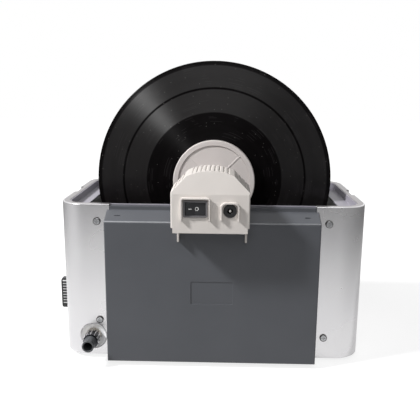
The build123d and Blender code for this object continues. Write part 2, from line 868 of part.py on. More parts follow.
with BuildPart() as control_panel:
    with BuildSketch(facing(far_wall)):
        with Locations((0, panel_middle_height)):
            RectangleRounded(panel_width, panel_height, panel_corner)
    extrude(amount=-panel_proud)
    fillet(control_panel.faces().sort_by(Axis.Y)[-1].outer_wire().edges(), panel_proud / 2)
    with BuildSketch(facing(panel_back_y)):
        with Locations((0, panel_middle_height)):
            RectangleRounded(
                panel_cut_width - 2 * seat_gap, panel_cut_height - 2 * seat_gap, panel_corner / 2
            )
    extrude(amount=-panel_plug)
    with BuildSketch(facing(panel_back_y)):
        with Locations(*panel_boss_places):
            Circle(panel_boss_radius)
    extrude(amount=panel_back_y - control_board_y)
    with BuildSketch(facing(control_board_y)):
        with Locations(*panel_boss_places):
            Circle(board_screw_radius + thread_clearance)
    extrude(amount=control_board_y - panel_back_y, mode=Mode.SUBTRACT)
    with BuildSketch(facing(panel_back_y)):
        with Locations(*key_places):
            Circle(key_radius + key_clearance)
        with Locations(*display_places):
            Rectangle(display_width - 2 * window_seat, display_height - 2 * window_seat)
    extrude(amount=-panel_plug - panel_proud, mode=Mode.SUBTRACT)
    with BuildSketch(facing(far_wall + panel_proud)):
        with Locations(*display_places):
            Rectangle(display_width + seat_gap, display_height + seat_gap)
    extrude(amount=window_thickness, mode=Mode.SUBTRACT)
save(control_panel, "control_panel")

with BuildPart() as display_windows:
    with BuildSketch(facing(far_wall + panel_proud)):
        with Locations(*display_places):
            Rectangle(display_width, display_height)
    extrude(amount=window_thickness)
save(display_windows, "display_windows")

with BuildPart() as control_board:
    with BuildSketch(facing(control_board_y)):
        with Locations((0, panel_middle_height)):
            Rectangle(control_board_width, control_board_height)
        with Locations(*panel_boss_places):
            Circle(board_screw_radius + screw_hole_clearance, mode=Mode.SUBTRACT)
    extrude(amount=board_thickness)
    with BuildSketch(facing(control_board_y)):
        with Locations(*key_places):
            Rectangle(key_switch_width, key_switch_width)
    extrude(amount=-key_switch_height)
save(control_board, "control_board")

with BuildPart() as display_digits:
    with BuildSketch(facing(control_board_y)):
        with Locations(*display_places):
            Rectangle(
                display_width - 2 * window_seat - 2 * seat_gap,
                display_height - 2 * window_seat - 2 * seat_gap,
            )
    extrude(amount=control_board_y - panel_back_y + display_gap)
save(display_digits, "display_digits")

with BuildPart() as panel_screws:
    with BuildSketch(facing(control_board_y - board_thickness)):
        with Locations(*panel_boss_places):
            Circle(board_screw_radius)
    extrude(amount=-board_thickness - board_standoff + seat_gap)
    with BuildSketch(facing(control_board_y - board_thickness)):
        with Locations(*panel_boss_places):
            Circle(board_screw_head_radius)
    extrude(amount=board_screw_head)
save(panel_screws, "panel_screws")

# Each key is a turned cap with a flange behind the panel that keeps it in.
key_flange_y = panel_back_y - seat_gap - key_flange
key_back_y = control_board_y + key_switch_height + key_travel + key_clearance / 2

for name, x in zip(key_names, key_xs):
    with BuildPart() as key:
        with BuildSketch(facing(key_back_y)):
            with Locations((x, key_height)):
                Circle(key_radius)
        extrude(amount=key_back_y - far_wall - panel_proud - key_proud)
        fillet(key.faces().sort_by(Axis.Y)[-1].edges(), key_proud / 2)
        with BuildSketch(facing(key_flange_y)):
            with Locations((x, key_height)):
                Circle(key_radius + key_flange_width)
        extrude(amount=-key_flange)
    save(key, name)

# ================================================================ mains inlet
# Three-pin appliance inlet, snapped into the right wall from outside.
inlet_face_x = right_wall + inlet_flange
inlet_floor_x = inlet_face_x - inlet_recess_depth
pin_places = [
    (inlet_y - inlet_pin_pitch, inlet_height),
    (inlet_y, inlet_height + inlet_earth_lift),
    (inlet_y + inlet_pin_pitch, inlet_height),
]

with BuildPart() as mains_inlet:
    with BuildSketch(side(right_wall)):
        with Locations((inlet_y, inlet_height)):
            RectangleRounded(
                inlet_width + 2 * inlet_flange_lap, inlet_tall + 2 * inlet_flange_lap, inlet_flange_lap
            )
    extrude(amount=inlet_flange)
    with BuildSketch(side(right_wall)):
        with Locations((inlet_y, inlet_height)):
            Rectangle(inlet_width, inlet_tall)
    extrude(amount=-inlet_body_depth)
    with BuildSketch(side(inlet_face_x)) as inlet_recess:
        with Locations((inlet_y, inlet_height)):
            Rectangle(inlet_recess_width, inlet_recess_tall)
        chamfer(inlet_recess.vertices().group_by(Axis.Y)[-1], inlet_recess_corner)
    extrude(amount=-inlet_recess_depth, mode=Mode.SUBTRACT)
    with BuildSketch(side(inlet_floor_x)):
        with Locations(*pin_places):
            Rectangle(inlet_pin_thickness, inlet_pin_width)
    extrude(amount=inlet_recess_depth - inlet_flange)
save(mains_inlet, "mains_inlet")

# ================================================================ drain cock
# A plug cock on the tank's left wall. Its neck passes through the wall to a nut inside, its
# plug is bored from the tank side with one side port, and its spigot points down.
tank_left_x = -tank_length / 2 - tank_wall
cock_end_x = tank_left_x - cock_length
knob_inner_x = left_wall - knob_gap
knob_outer_x = knob_inner_x - knob_reach
spigot_x = tank_left_x - cock_length / 2
nut_face_x = tank_left_x + tank_wall + port_nut_thickness

with BuildPart() as cock_body:
    with BuildSketch(level(cock_height - cock_radius - cock_spigot_length)):
        with Locations((spigot_x, cock_y)):
            Circle(cock_spigot_radius)
    extrude(amount=cock_spigot_length + cock_radius)
    with BuildSketch(side(tank_left_x)):
        with Locations((cock_y, cock_height)):
            Circle(cock_radius)
    extrude(amount=-cock_length)
    with BuildSketch(side(tank_left_x)):
        with Locations((cock_y, cock_height)):
            Circle(cock_neck_radius)
    extrude(amount=nut_face_x + cock_neck_end - tank_left_x)
    with BuildSketch(side(cock_end_x)):
        with Locations((cock_y, cock_height)):
            Circle(cock_bore_radius)
    extrude(amount=cock_length - cock_wall, mode=Mode.SUBTRACT)
    with BuildSketch(side(cock_end_x)):
        with Locations((cock_y, cock_height)):
            Circle(cock_port_radius)
    extrude(amount=2 * cock_length, mode=Mode.SUBTRACT)
    with BuildSketch(level(0)):
        with Locations((spigot_x, cock_y)):
            Circle(cock_port_radius)
    extrude(amount=cock_height, mode=Mode.SUBTRACT)
save(cock_body, "cock_body")

with BuildPart() as port_nut:
    with BuildSketch(side(nut_face_x)):
        with Locations((cock_y, cock_height)):
            RegularPolygon(port_nut_radius, 6, rotation=30)
            Circle(cock_neck_radius + thread_clearance, mode=Mode.SUBTRACT)
    extrude(amount=-port_nut_thickness)
save(port_nut, "port_nut")

with BuildPart() as packing_nut:
    with BuildSketch(side(cock_end_x)):
        with Locations((cock_y, cock_height)):
            RegularPolygon(cock_radius, 6)
            Circle(stem_radius + running_clearance, mode=Mode.SUBTRACT)
    extrude(amount=-port_nut_thickness)
save(packing_nut, "packing_nut")

plug_end_x = cock_end_x + running_clearance
plug_start_x = tank_left_x - cock_wall - seat_gap
stem_end_x = knob_outer_x + knob_plate

with BuildPart() as cock_plug:
    with BuildSketch(side(plug_start_x)):
        with Locations((cock_y, cock_height)):
            Circle(cock_bore_radius - running_clearance)
    extrude(amount=plug_end_x - plug_start_x)
    with BuildSketch(side(plug_start_x)):
        with Locations((cock_y, cock_height)):
            Circle(stem_radius)
    extrude(amount=stem_end_x - plug_start_x)
    with BuildSketch(side(plug_start_x)):
        with Locations((cock_y, cock_height)):
            Circle(cock_port_radius)
    extrude(amount=spigot_x - plug_start_x, mode=Mode.SUBTRACT)
    with BuildSketch(facing(cock_y)):
        with Locations((spigot_x, cock_height)):
            Circle(cock_port_radius)
    extrude(amount=cock_bore_radius, mode=Mode.SUBTRACT)
save(cock_plug, "cock_plug")

# ================================================================ drain knob
# Black moulded bar grip outside the left wall: an end plate, and behind it close ribs along
# both long sides, which stop short of the lower end. It is bored to push onto the stem.
with BuildPart() as drain_knob:
    with BuildSketch(side(knob_inner_x)):
        with Locations((cock_y, cock_height)):
            RectangleRounded(knob_width, knob_length, knob_corner)
    extrude(amount=-knob_reach)
    fillet(drain_knob.faces().sort_by(Axis.X)[0].edges(), knob_edge_radius)
    with BuildSketch(side(knob_inner_x)):
        with Locations((cock_y, cock_height + knob_groove_lift)):
            with GridLocations(knob_width, knob_groove_pitch, 2, knob_groove_count):
                Rectangle(2 * knob_groove_depth, knob_groove_width)
        with Locations((cock_y, cock_height)):
            Circle(stem_radius + thread_clearance)
    extrude(amount=knob_plate - knob_reach, mode=Mode.SUBTRACT)
save(drain_knob, "drain_knob")

# ================================================================ drain outlet
# Plain straight nozzle through a dished washer in the near wall. A ribbed collar screws
# onto it from outside and clamps the washer against the nozzle's inner flange.
dish_floor_y = near_wall + dish_depth
washer_back_y = dish_floor_y + dish_wall
nozzle_flange_y = washer_back_y + nozzle_flange
nozzle_tip_y = near_wall - nozzle_reach
collar_face_y = dish_floor_y - collar_length
nozzle_axis = axis_along_y(nozzle_x, nozzle_height)
shell_inside_y = near_wall + shell_wall

with BuildPart() as dish_flange_ring:
    with BuildSketch(facing(shell_inside_y)):
        with Locations((nozzle_x, nozzle_height)):
            Circle(dish_flange_radius)
            Circle(dish_floor_radius, mode=Mode.SUBTRACT)
    extrude(amount=-dish_flange)
    with BuildSketch(level(0)):
        Rectangle(2 * body_width, 2 * body_depth)
        body_plan_cut(shell_wall + base_clearance)
    extrude(amount=shell_height, mode=Mode.SUBTRACT)

with BuildPart() as drain_dish:
    with BuildSketch(side(nozzle_x)):
        turned(
            nozzle_height,
            (dish_floor_y, nozzle_thread_radius + thread_clearance),
            (dish_floor_y, dish_floor_radius),
            (near_wall, dish_radius),
            (washer_back_y, dish_radius),
            (washer_back_y, nozzle_thread_radius + thread_clearance),
        )
    revolve(axis=nozzle_axis)
    add(dish_flange_ring.part)
save(drain_dish, "drain_dish")

with BuildPart() as drain_nozzle:
    with BuildSketch(side(nozzle_x)):
        turned(
            nozzle_height,
            (nozzle_tip_y, nozzle_bore_radius),
            (nozzle_tip_y, nozzle_tip_radius),
            (nozzle_tip_y + nozzle_straight, nozzle_tip_radius),
            (collar_face_y, nozzle_root_radius),
            (collar_face_y, nozzle_thread_radius),
            (washer_back_y, nozzle_thread_radius),
            (washer_back_y, nozzle_flange_radius),
            (nozzle_flange_y, nozzle_flange_radius),
            (nozzle_flange_y, nozzle_tail_radius),
            (nozzle_flange_y + nozzle_tail_length, nozzle_tail_radius),
            (nozzle_flange_y + nozzle_tail_length, cock_port_radius),
            (washer_back_y, cock_port_radius),
            (dish_floor_y - nozzle_bore_step, nozzle_bore_radius),
        )
    revolve(axis=nozzle_axis)
save(drain_nozzle, "drain_nozzle")

with BuildPart() as nozzle_collar:
    with BuildSketch(facing(dish_floor_y)):
        with Locations((nozzle_x, nozzle_height)):
            Circle(collar_radius)
            with PolarLocations(collar_radius, collar_rib_count):
                Circle(collar_rib_depth, mode=Mode.SUBTRACT)
            Circle(nozzle_thread_radius + thread_clearance, mode=Mode.SUBTRACT)
    extrude(amount=collar_length)
save(nozzle_collar, "nozzle_collar")

# The hose runs down from the cock's spigot and turns forward to the nozzle's tail.
hose_top_z = cock_height - cock_radius - seat_gap
hose_end_y = nozzle_flange_y + seat_gap
hose_bend_y = nozzle_flange_y + nozzle_tail_length + hose_lead
hose_points = [
    (body_x + spigot_x, body_y + cock_y, hose_top_z),
    (body_x + spigot_x, body_y + cock_y, nozzle_height),
    (body_x + nozzle_x, body_y + hose_bend_y, nozzle_height),
    (body_x + nozzle_x, body_y + hose_end_y, nozzle_height),
]


def bend_radii(points):
    """Largest radius at each inner corner that its two runs leave room for."""
    radii = []
    for before, corner, after in zip(points, points[1:], points[2:]):
        first = Vector(*corner) - Vector(*before)
        second = Vector(*after) - Vector(*corner)
        turn = radians(first.get_angle(second))
        radii.append(0.45 * min(first.length, second.length) / tan(turn / 2))
    return radii


hose_radii = bend_radii(hose_points)
print("hose radii", [round(radius, 1) for radius in hose_radii])

with BuildPart() as drain_hose:
    with BuildLine() as hose_route:
        FilletPolyline(*hose_points, radius=hose_radii)
    with BuildSketch(Plane(hose_points[0], x_dir=(1, 0, 0), z_dir=(0, 0, -1))):
        Circle(hose_outer_radius)
        Circle(hose_bore_radius, mode=Mode.SUBTRACT)
    sweep(path=hose_route.wire())
save(drain_hose, "drain_hose")

with BuildPart() as hose_clips:
    with BuildSketch(level(hose_top_z - 2 * clip_width)):
        with Locations((spigot_x, cock_y)):
            Circle(hose_outer_radius + clip_wall)
            Circle(hose_outer_radius + thread_clearance, mode=Mode.SUBTRACT)
    extrude(amount=clip_width)
    with BuildSketch(facing(hose_end_y + 2 * clip_width)):
        with Locations((nozzle_x, nozzle_height)):
            Circle(hose_outer_radius + clip_wall)
            Circle(hose_outer_radius + thread_clearance, mode=Mode.SUBTRACT)
    extrude(amount=clip_width)
save(hose_clips, "hose_clips")

# ================================================================ drive unit: housing
# Clip-on moulded housing that stands on the rear cover's upright and hangs down in front of
# the ledge on two legs, which hang between the walls from a root inside. The unit sits a
# little to the left of its spindle. Its sides draft out to the open back, its upper front
# face leans back under a low arch, and grooves run along its roof and slopes.
drive_bottom_z = spindle_z + drive_bottom_over_spindle
drive_step_z = spindle_z + drive_step_over_spindle
drive_crease_z = spindle_z + drive_crease_over_spindle
drive_shoulder_z = spindle_z + drive_shoulder_over_spindle
drive_knee_z = spindle_z + drive_knee_over_spindle
drive_peak_z = spindle_z + drive_peak_over_spindle
drive_depth = drive_back - drive_face
drive_foot_half_width = drive_half_width - drive_step_inset
drive_shelf_z = upright_top_z + seat_gap
arch_rise = drive_peak_z - drive_knee_z
arch_radius = (drive_knee_half_width**2 + arch_rise**2) / (2 * arch_rise)
slope_run = drive_half_width - drive_knee_half_width
slope_rise = drive_knee_z - drive_shoulder_z
slope_angle = degrees(atan2(slope_rise, slope_run))
drive_riser_y = cover_face - cover_clearance
drive_inner_back = drive_back - drive_wall
leg_front_y = drive_riser_y - leg_depth
leg_middle_y = drive_riser_y - leg_depth / 2
leg_root_depth = leg_depth - drive_wall - seat_gap
leg_root_x = drive_foot_half_width - drive_draft - leg_root_width / 2
switch_z = spindle_z + switch_over_spindle
jack_z = spindle_z + jack_over_spindle
switch_hood_top_z = spindle_z + switch_hood_top_over_spindle
jack_hood_top_z = spindle_z + jack_hood_top_over_spindle
switch_body_width = switch_bezel_width - 2 * switch_lap
switch_body_height = switch_bezel_height - 2 * switch_lap


def drive_facing(y):
    """Upright plane at y like facing, but with its middle on the drive unit's own middle."""
    return Plane((body_x + drive_middle, body_y + y, 0), x_dir=(1, 0, 0), z_dir=(0, -1, 0))


def drive_section(y, inset, bottom_z):
    """The drive unit's front view at y, drawn in by inset, with its lower edge at bottom_z."""
    with BuildSketch(drive_facing(y)) as section:
        with BuildLine():
            Polyline(
                (-drive_knee_half_width, drive_knee_z),
                (-drive_half_width, drive_shoulder_z),
                (-drive_half_width, drive_step_z),
                (-drive_foot_half_width, drive_step_z),
                (-drive_foot_half_width, bottom_z - inset),
                (drive_foot_half_width, bottom_z - inset),
                (drive_foot_half_width, drive_step_z),
                (drive_half_width, drive_step_z),
                (drive_half_width, drive_shoulder_z),
                (drive_knee_half_width, drive_knee_z),
            )
            ThreePointArc(
                (-drive_knee_half_width, drive_knee_z),
                (0, drive_peak_z),
                (drive_knee_half_width, drive_knee_z),
            )
        make_face()
        if inset > 0:
            offset(amount=-inset, kind=Kind.INTERSECTION)
    return section.sketch


def drive_form(wall, bottom_z):
    """The drive unit's drafted, leaning form, drawn in by wall on its front, top and sides."""
    front_y = drive_face + wall
    lean_top = drive_peak_z + drive_wall
    lean_run = (lean_top - drive_crease_z) * tan(radians(drive_lean))
    front_inset = wall + drive_draft * (drive_back - front_y) / drive_depth
    with BuildPart() as form:
        loft(
            sections=[
                drive_section(front_y, front_inset, bottom_z),
                drive_section(drive_back, wall, bottom_z),
            ],
            ruled=True,
        )
        with BuildSketch(side(0)):
            outline(
                (front_y, drive_crease_z),
                (front_y + lean_run, lean_top),
                (front_y - 1, lean_top),
                (front_y - 1, drive_crease_z),
            )
        extrude(amount=2 * drive_half_width, both=True, mode=Mode.SUBTRACT)
    return form.part


back_boss_x = drive_half_width - drive_wall - drive_boss_radius + boss_overlap
back_boss_z = drive_shelf_z + drive_wall + drive_boss_radius + seat_gap
back_boss_places = [(drive_middle + hand * back_boss_x, back_boss_z) for hand in (-1, 1)]
base_boss_x = drive_foot_half_width - drive_draft - drive_wall - drive_boss_radius + boss_overlap
base_boss_y = drive_face + drive_wall + 2 * drive_boss_radius
base_boss_places = [(drive_middle + hand * base_boss_x, base_boss_y) for hand in (-1, 1)]
base_top_z = drive_bottom_z + drive_wall

with BuildPart() as drive_housing:
    add(drive_form(0, drive_bottom_z))
    front_corners = drive_housing.faces().sort_by(Axis.Y)[0].edges().filter_by(Axis.Z)
    fillet(front_corners.filter_by(lambda edge: edge.length > drive_depth / 2), drive_front_radius)
    add(drive_form(drive_wall, drive_bottom_z - drive_wall), mode=Mode.SUBTRACT)
    with BuildSketch(side(0)):
        outline(
            (drive_riser_y, 0),
            (drive_back + 1, 0),
            (drive_back + 1, drive_shelf_z),
            (drive_riser_y, drive_shelf_z),
        )
    extrude(amount=2 * drive_half_width, both=True, mode=Mode.SUBTRACT)
    with BuildSketch(level(drive_bottom_z - leg_drop)):
        with Locations((0, leg_middle_y)):
            with GridLocations(leg_spacing, 0, 2, 1):
                Rectangle(leg_thickness, leg_depth)
    extrude(amount=leg_drop + drive_step_z - drive_bottom_z)
    with BuildSketch(level(base_top_z + seat_gap)):
        with Locations((drive_middle, leg_front_y)):
            with GridLocations(2 * leg_root_x, 0, 2, 1):
                Rectangle(leg_root_width, leg_root_depth, align=(Align.CENTER, Align.MIN))
    extrude(amount=leg_root_height)
    with BuildSketch(facing(drive_inner_back - thread_clearance)):
        with Locations(*back_boss_places):
            Circle(drive_boss_radius)
    extrude(amount=drive_boss_length)
    with BuildSketch(level(base_top_z + thread_clearance)):
        with Locations(*base_boss_places):
            Circle(drive_boss_radius)
    extrude(amount=drive_boss_length)
    with BuildSketch(facing(drive_inner_back)):
        with Locations(*back_boss_places):
            Circle(board_screw_radius + thread_clearance)
    extrude(amount=drive_boss_length - drive_wall, mode=Mode.SUBTRACT)
    with BuildSketch(level(base_top_z)):
        with Locations(*base_boss_places):
            Circle(board_screw_radius + thread_clearance)
    extrude(amount=drive_boss_length - drive_wall, mode=Mode.SUBTRACT)
    with BuildSketch(facing(drive_face + drive_wall / 2)) as hood_outsides:
        with Locations((switch_x, switch_hood_top_z)):
            Rectangle(switch_hood_width, switch_hood_height, align=(Align.CENTER, Align.MAX))
        fillet(hood_outsides.vertices().group_by(Axis.Y)[-1], switch_hood_corner)
    extrude(amount=hood_depth + drive_wall / 2)
    with BuildSketch(facing(drive_face + drive_wall / 2)) as jack_hood_outside:
        with Locations((jack_x, jack_hood_top_z)):
            Rectangle(jack_hood_width, jack_hood_height, align=(Align.CENTER, Align.MAX))
        fillet(jack_hood_outside.vertices().group_by(Axis.Y)[-1], jack_hood_corner)
    extrude(amount=hood_depth + drive_wall / 2)
    with BuildSketch(facing(drive_face)) as switch_hood_inside:
        with Locations((switch_x, switch_hood_top_z - hood_wall)):
            Rectangle(
                switch_hood_width - 2 * hood_wall,
                2 * switch_hood_height,
                align=(Align.CENTER, Align.MAX),
            )
        fillet(switch_hood_inside.vertices().group_by(Axis.Y)[-1], switch_hood_corner - hood_wall)
    extrude(amount=hood_depth, mode=Mode.SUBTRACT)
    with BuildSketch(facing(drive_face)) as jack_hood_inside:
        with Locations((jack_x, jack_hood_top_z - hood_wall)):
            Rectangle(
                jack_hood_width - 2 * hood_wall,
                2 * jack_hood_height,
                align=(Align.CENTER, Align.MAX),
            )
        fillet(jack_hood_inside.vertices().group_by(Axis.Y)[-1], jack_hood_corner - hood_wall)
    extrude(amount=hood_depth, mode=Mode.SUBTRACT)
    with BuildSketch(facing(drive_face)):
        with Locations((switch_x, switch_z)):
            Rectangle(switch_body_width + seat_gap, switch_body_height + seat_gap)
        with Locations((jack_x, jack_z)):
            Circle(jack_barrel_radius + screw_hole_clearance)
    extrude(amount=-2 * drive_wall, mode=Mode.SUBTRACT)
    with BuildSketch(drive_facing(drive_back)):
        with Locations((0, drive_peak_z - arch_radius)):
            with PolarLocations(
                arch_radius,
                roof_groove_count,
                start_angle=90 - roof_groove_angle * (roof_groove_count - 1) / 2,
                angular_range=roof_groove_angle * roof_groove_count,
            ):
                Rectangle(2 * roof_groove_depth, roof_groove_width)
        for hand in (-1, 1):
            for index in range(slope_groove_count):
                share = (index + 1) / (slope_groove_count + 1)
                groove_x = hand * (drive_knee_half_width + share * slope_run)
                groove_z = drive_knee_z - share * slope_rise
                with Locations(Location((groove_x, groove_z, 0), (0, 0, -hand * slope_angle))):
                    Rectangle(roof_groove_width, 2 * roof_groove_depth)
    extrude(amount=drive_depth - roof_groove_setback, mode=Mode.SUBTRACT)
save(drive_housing, "drive_housing")

# ================================================================ drive unit: base and back
# A stepped plate closes the unit from below, over the ledge and the upright, and a flat
# plate closes its back and carries the motor and the spindle's bush.
plate_edge = drive_wall + seat_gap / 2
base_front_y = drive_face + drive_wall + seat_gap
plate_foot_z = drive_shelf_z + drive_wall + seat_gap / 2
motor_z = spindle_z + motor_offset
motor_screw_places = [(-motor_ear_spacing / 2, motor_z), (motor_ear_spacing / 2, motor_z)]

with BuildPart() as drive_base:
    with BuildSketch(side(0)):
        outline(
            (base_front_y, drive_bottom_z),
            (drive_riser_y, drive_bottom_z),
            (drive_riser_y, drive_shelf_z),
            (drive_back, drive_shelf_z),
            (drive_back, drive_shelf_z + drive_wall),
            (drive_riser_y - drive_wall, drive_shelf_z + drive_wall),
            (drive_riser_y - drive_wall, base_top_z),
            (base_front_y, base_top_z),
        )
    extrude(amount=2 * drive_half_width, both=True)
    add(drive_form(plate_edge, drive_bottom_z - drive_wall), mode=Mode.INTERSECT)
    with BuildSketch(level(drive_bottom_z)):
        with Locations((0, leg_middle_y)):
            with GridLocations(leg_spacing, 0, 2, 1):
                Rectangle(leg_thickness + 2 * seat_gap, leg_depth + 2 * seat_gap)
    extrude(amount=drive_step_z + seat_gap - drive_bottom_z, mode=Mode.SUBTRACT)
    with BuildSketch(level(drive_bottom_z)):
        with Locations(*base_boss_places):
            Circle(board_screw_radius + screw_hole_clearance)
    extrude(amount=drive_wall, mode=Mode.SUBTRACT)
save(drive_base, "drive_base")

with BuildPart() as drive_back_plate:
    with BuildSketch(side(0)):
        outline(
            (drive_inner_back, plate_foot_z),
            (drive_back, plate_foot_z),
            (drive_back, 2 * drive_peak_z),
            (drive_inner_back, 2 * drive_peak_z),
        )
    extrude(amount=2 * drive_half_width, both=True)
    add(drive_form(plate_edge, drive_bottom_z - drive_wall), mode=Mode.INTERSECT)
    with BuildSketch(facing(drive_back)):
        with Locations((0, spindle_z)):
            Circle(bush_radius + thread_clearance)
        with Locations(*back_boss_places, *motor_screw_places):
            Circle(board_screw_radius + screw_hole_clearance)
    extrude(amount=drive_wall, mode=Mode.SUBTRACT)
save(drive_back_plate, "drive_back")

with BuildPart() as drive_screws:
    with BuildSketch(facing(drive_back)):
        with Locations(*back_boss_places):
            Circle(board_screw_radius)
    extrude(amount=drive_boss_length - drive_wall)
    with BuildSketch(facing(drive_back)):
        with Locations(*back_boss_places):
            Circle(board_screw_head_radius)
    extrude(amount=-board_screw_head)
    with BuildSketch(level(drive_bottom_z)):
        with Locations(*base_boss_places):
            Circle(board_screw_radius)
    extrude(amount=drive_boss_length - drive_wall)
    with BuildSketch(level(drive_bottom_z)):
        with Locations(*base_boss_places):
            Circle(board_screw_head_radius)
    extrude(amount=-board_screw_head)
save(drive_screws, "drive_screws")

# ================================================================ drive unit: gearmotor
# Flat geared motor whose output sits off the can's middle, with two ears.

with BuildPart() as gearmotor:
    with BuildSketch(facing(drive_inner_back)):
        with Locations((0, motor_z)):
            Circle(motor_radius)
    extrude(amount=motor_length)
    fillet(gearmotor.faces().sort_by(Axis.Y)[0].edges(), motor_edge_radius)
    with BuildSketch(facing(drive_inner_back)):
        with Locations((0, motor_z)):
            SlotCenterToCenter(motor_ear_spacing, 2 * motor_ear_radius)
    extrude(amount=motor_ear_thickness)
    with BuildSketch(facing(drive_inner_back)):
        with Locations(*motor_screw_places):
            Circle(board_screw_radius + thread_clearance)
    extrude(amount=motor_ear_thickness, mode=Mode.SUBTRACT)
    with BuildSketch(facing(drive_inner_back)):
        with Locations((0, spindle_z)):
            Circle(spindle_radius + running_clearance)
    extrude(amount=shaft_engagement + seat_gap, mode=Mode.SUBTRACT)
save(gearmotor, "gearmotor")

with BuildPart() as motor_screws:
    with BuildSketch(facing(drive_back)):
        with Locations(*motor_screw_places):
            Circle(board_screw_radius)
    extrude(amount=drive_wall + 2 * motor_ear_thickness)
    with BuildSketch(facing(drive_back)):
        with Locations(*motor_screw_places):
            Circle(board_screw_head_radius)
    extrude(amount=-board_screw_head)
save(motor_screws, "motor_screws")

with BuildPart() as spindle_bush:
    with BuildSketch(facing(drive_back)):
        with Locations((0, spindle_z)):
            Circle(bush_radius)
    extrude(amount=drive_wall)
    with BuildSketch(facing(drive_back)):
        with Locations((0, spindle_z)):
            Circle(bush_flange_radius)
    extrude(amount=-bush_flange)
    with BuildSketch(facing(drive_back + bush_flange)):
        with Locations((0, spindle_z)):
            Circle(spindle_radius + running_clearance)
    extrude(amount=drive_wall + bush_flange, mode=Mode.SUBTRACT)
save(spindle_bush, "spindle_bush")

# ================================================================ drive unit: switch, jack
# Snap-in rocker switch and a round power jack with its nut, both behind the front face.
pivot_y = drive_face + rocker_pivot_depth
bezel_y = drive_face - switch_bezel_depth
cavity_width = rocker_length + 2 * rocker_gap
cavity_height = rocker_height + 2 * rocker_gap
rocker_swing = rocker_back + rocker_length / 2 * sin(radians(rocker_tilt)) + rocker_gap

with BuildPart() as switch_body:
    with BuildSketch(facing(drive_face)):
        with Locations((switch_x, switch_z)):
            RectangleRounded(switch_bezel_width, switch_bezel_height, switch_bezel_depth)
    extrude(amount=switch_bezel_depth)
    chamfer(switch_body.faces().sort_by(Axis.Y)[0].edges(), switch_lap)
    with BuildSketch(facing(drive_face)):
        with Locations((switch_x, switch_z)):
            Rectangle(switch_body_width, switch_body_height)
    extrude(amount=-switch_body_depth)
    with BuildSketch(facing(bezel_y)):
        with Locations((switch_x, switch_z)):
            Rectangle(cavity_width, cavity_height)
    extrude(amount=bezel_y - pivot_y - rocker_swing, mode=Mode.SUBTRACT)
    with BuildSketch(level(switch_z)):
        with Locations((switch_x, pivot_y)):
            Circle(rocker_pin_radius + running_clearance)
    extrude(amount=rocker_height / 2 + rocker_pin_length, both=True, mode=Mode.SUBTRACT)
    with BuildSketch(facing(drive_face + switch_body_depth)):
        with Locations((switch_x, switch_z)):
            with GridLocations(switch_blade_pitch, 0, 3, 1):
                Rectangle(switch_blade_thickness, switch_blade_width)
    extrude(amount=-switch_blade_length)
save(switch_body, "switch_body")

with BuildPart() as rocker:
    with BuildSketch(level(switch_z)):
        with Locations((switch_x, pivot_y)):
            Circle(rocker_length / 2)
        with BuildLine():
            Polyline(
                (switch_x, pivot_y - rocker_ridge),
                (switch_x + rocker_length, pivot_y - rocker_ridge),
                (switch_x + rocker_length, pivot_y + rocker_back),
                (switch_x - rocker_length, pivot_y + rocker_back),
                (
                    switch_x - rocker_length,
                    pivot_y - rocker_ridge - rocker_length * tan(radians(rocker_tilt)),
                ),
                close=True,
            )
        make_face(mode=Mode.INTERSECT)
    extrude(amount=rocker_height / 2, both=True)
    with BuildSketch(level(switch_z)):
        with Locations((switch_x, pivot_y)):
            Circle(rocker_pin_radius)
    extrude(amount=rocker_height / 2 + rocker_pin_length - thread_clearance, both=True)
save(rocker, "rocker")

with BuildPart() as dc_jack:
    with BuildSketch(facing(drive_face)):
        with Locations((jack_x, jack_z)):
            Circle(jack_radius)
    extrude(amount=jack_flange)
    chamfer(dc_jack.faces().sort_by(Axis.Y)[0].edges(), jack_flange / 3)
    with BuildSketch(facing(drive_face)):
        with Locations((jack_x, jack_z)):
            Circle(jack_barrel_radius)
    extrude(amount=-jack_barrel_length)
    with BuildSketch(facing(drive_face - jack_flange)):
        with Locations((jack_x, jack_z)):
            Circle(jack_socket_radius)
    extrude(amount=-jack_socket_depth, mode=Mode.SUBTRACT)
    with BuildSketch(facing(drive_face - jack_flange + jack_socket_depth)):
        with Locations((jack_x, jack_z)):
            Circle(jack_pin_radius)
    extrude(amount=jack_socket_depth - jack_flange)
save(dc_jack, "dc_jack")

with BuildPart() as jack_nut:
    with BuildSketch(facing(drive_face + drive_wall)):
        with Locations((jack_x, jack_z)):
            RegularPolygon(jack_nut_radius, 6)
            Circle(jack_barrel_radius + thread_clearance, mode=Mode.SUBTRACT)
    extrude(amount=-jack_nut_thickness)
save(jack_nut, "jack_nut")

# ================================================================ spindle
# Level shaft from the motor through the bush, with a sleeve against the inner label cover.
label_front_y = record_near - label_cover_depth
label_floor_y = label_front_y + label_cover_dish
collar_end_y = label_front_y - hub_collar_height
sleeve_start_y = drive_back + bush_flange + hub_gap
nut_start_y = 2 * record_offset - collar_end_y + seat_gap
nut_end_y = nut_start_y + clamp_length
shaft_start_y = drive_inner_back - shaft_engagement
shaft_end_y = nut_end_y + spindle_tail
bore_radius = spindle_radius + running_clearance

with BuildPart() as spindle_shaft:
    with BuildSketch(facing(shaft_end_y)):
        with Locations((0, spindle_z)):
            Circle(spindle_radius)
    extrude(amount=shaft_end_y - shaft_start_y)
    chamfer(spindle_shaft.faces().sort_by(Axis.Y)[-1].edges(), spindle_radius / 5)
save(spindle_shaft, "spindle_shaft")

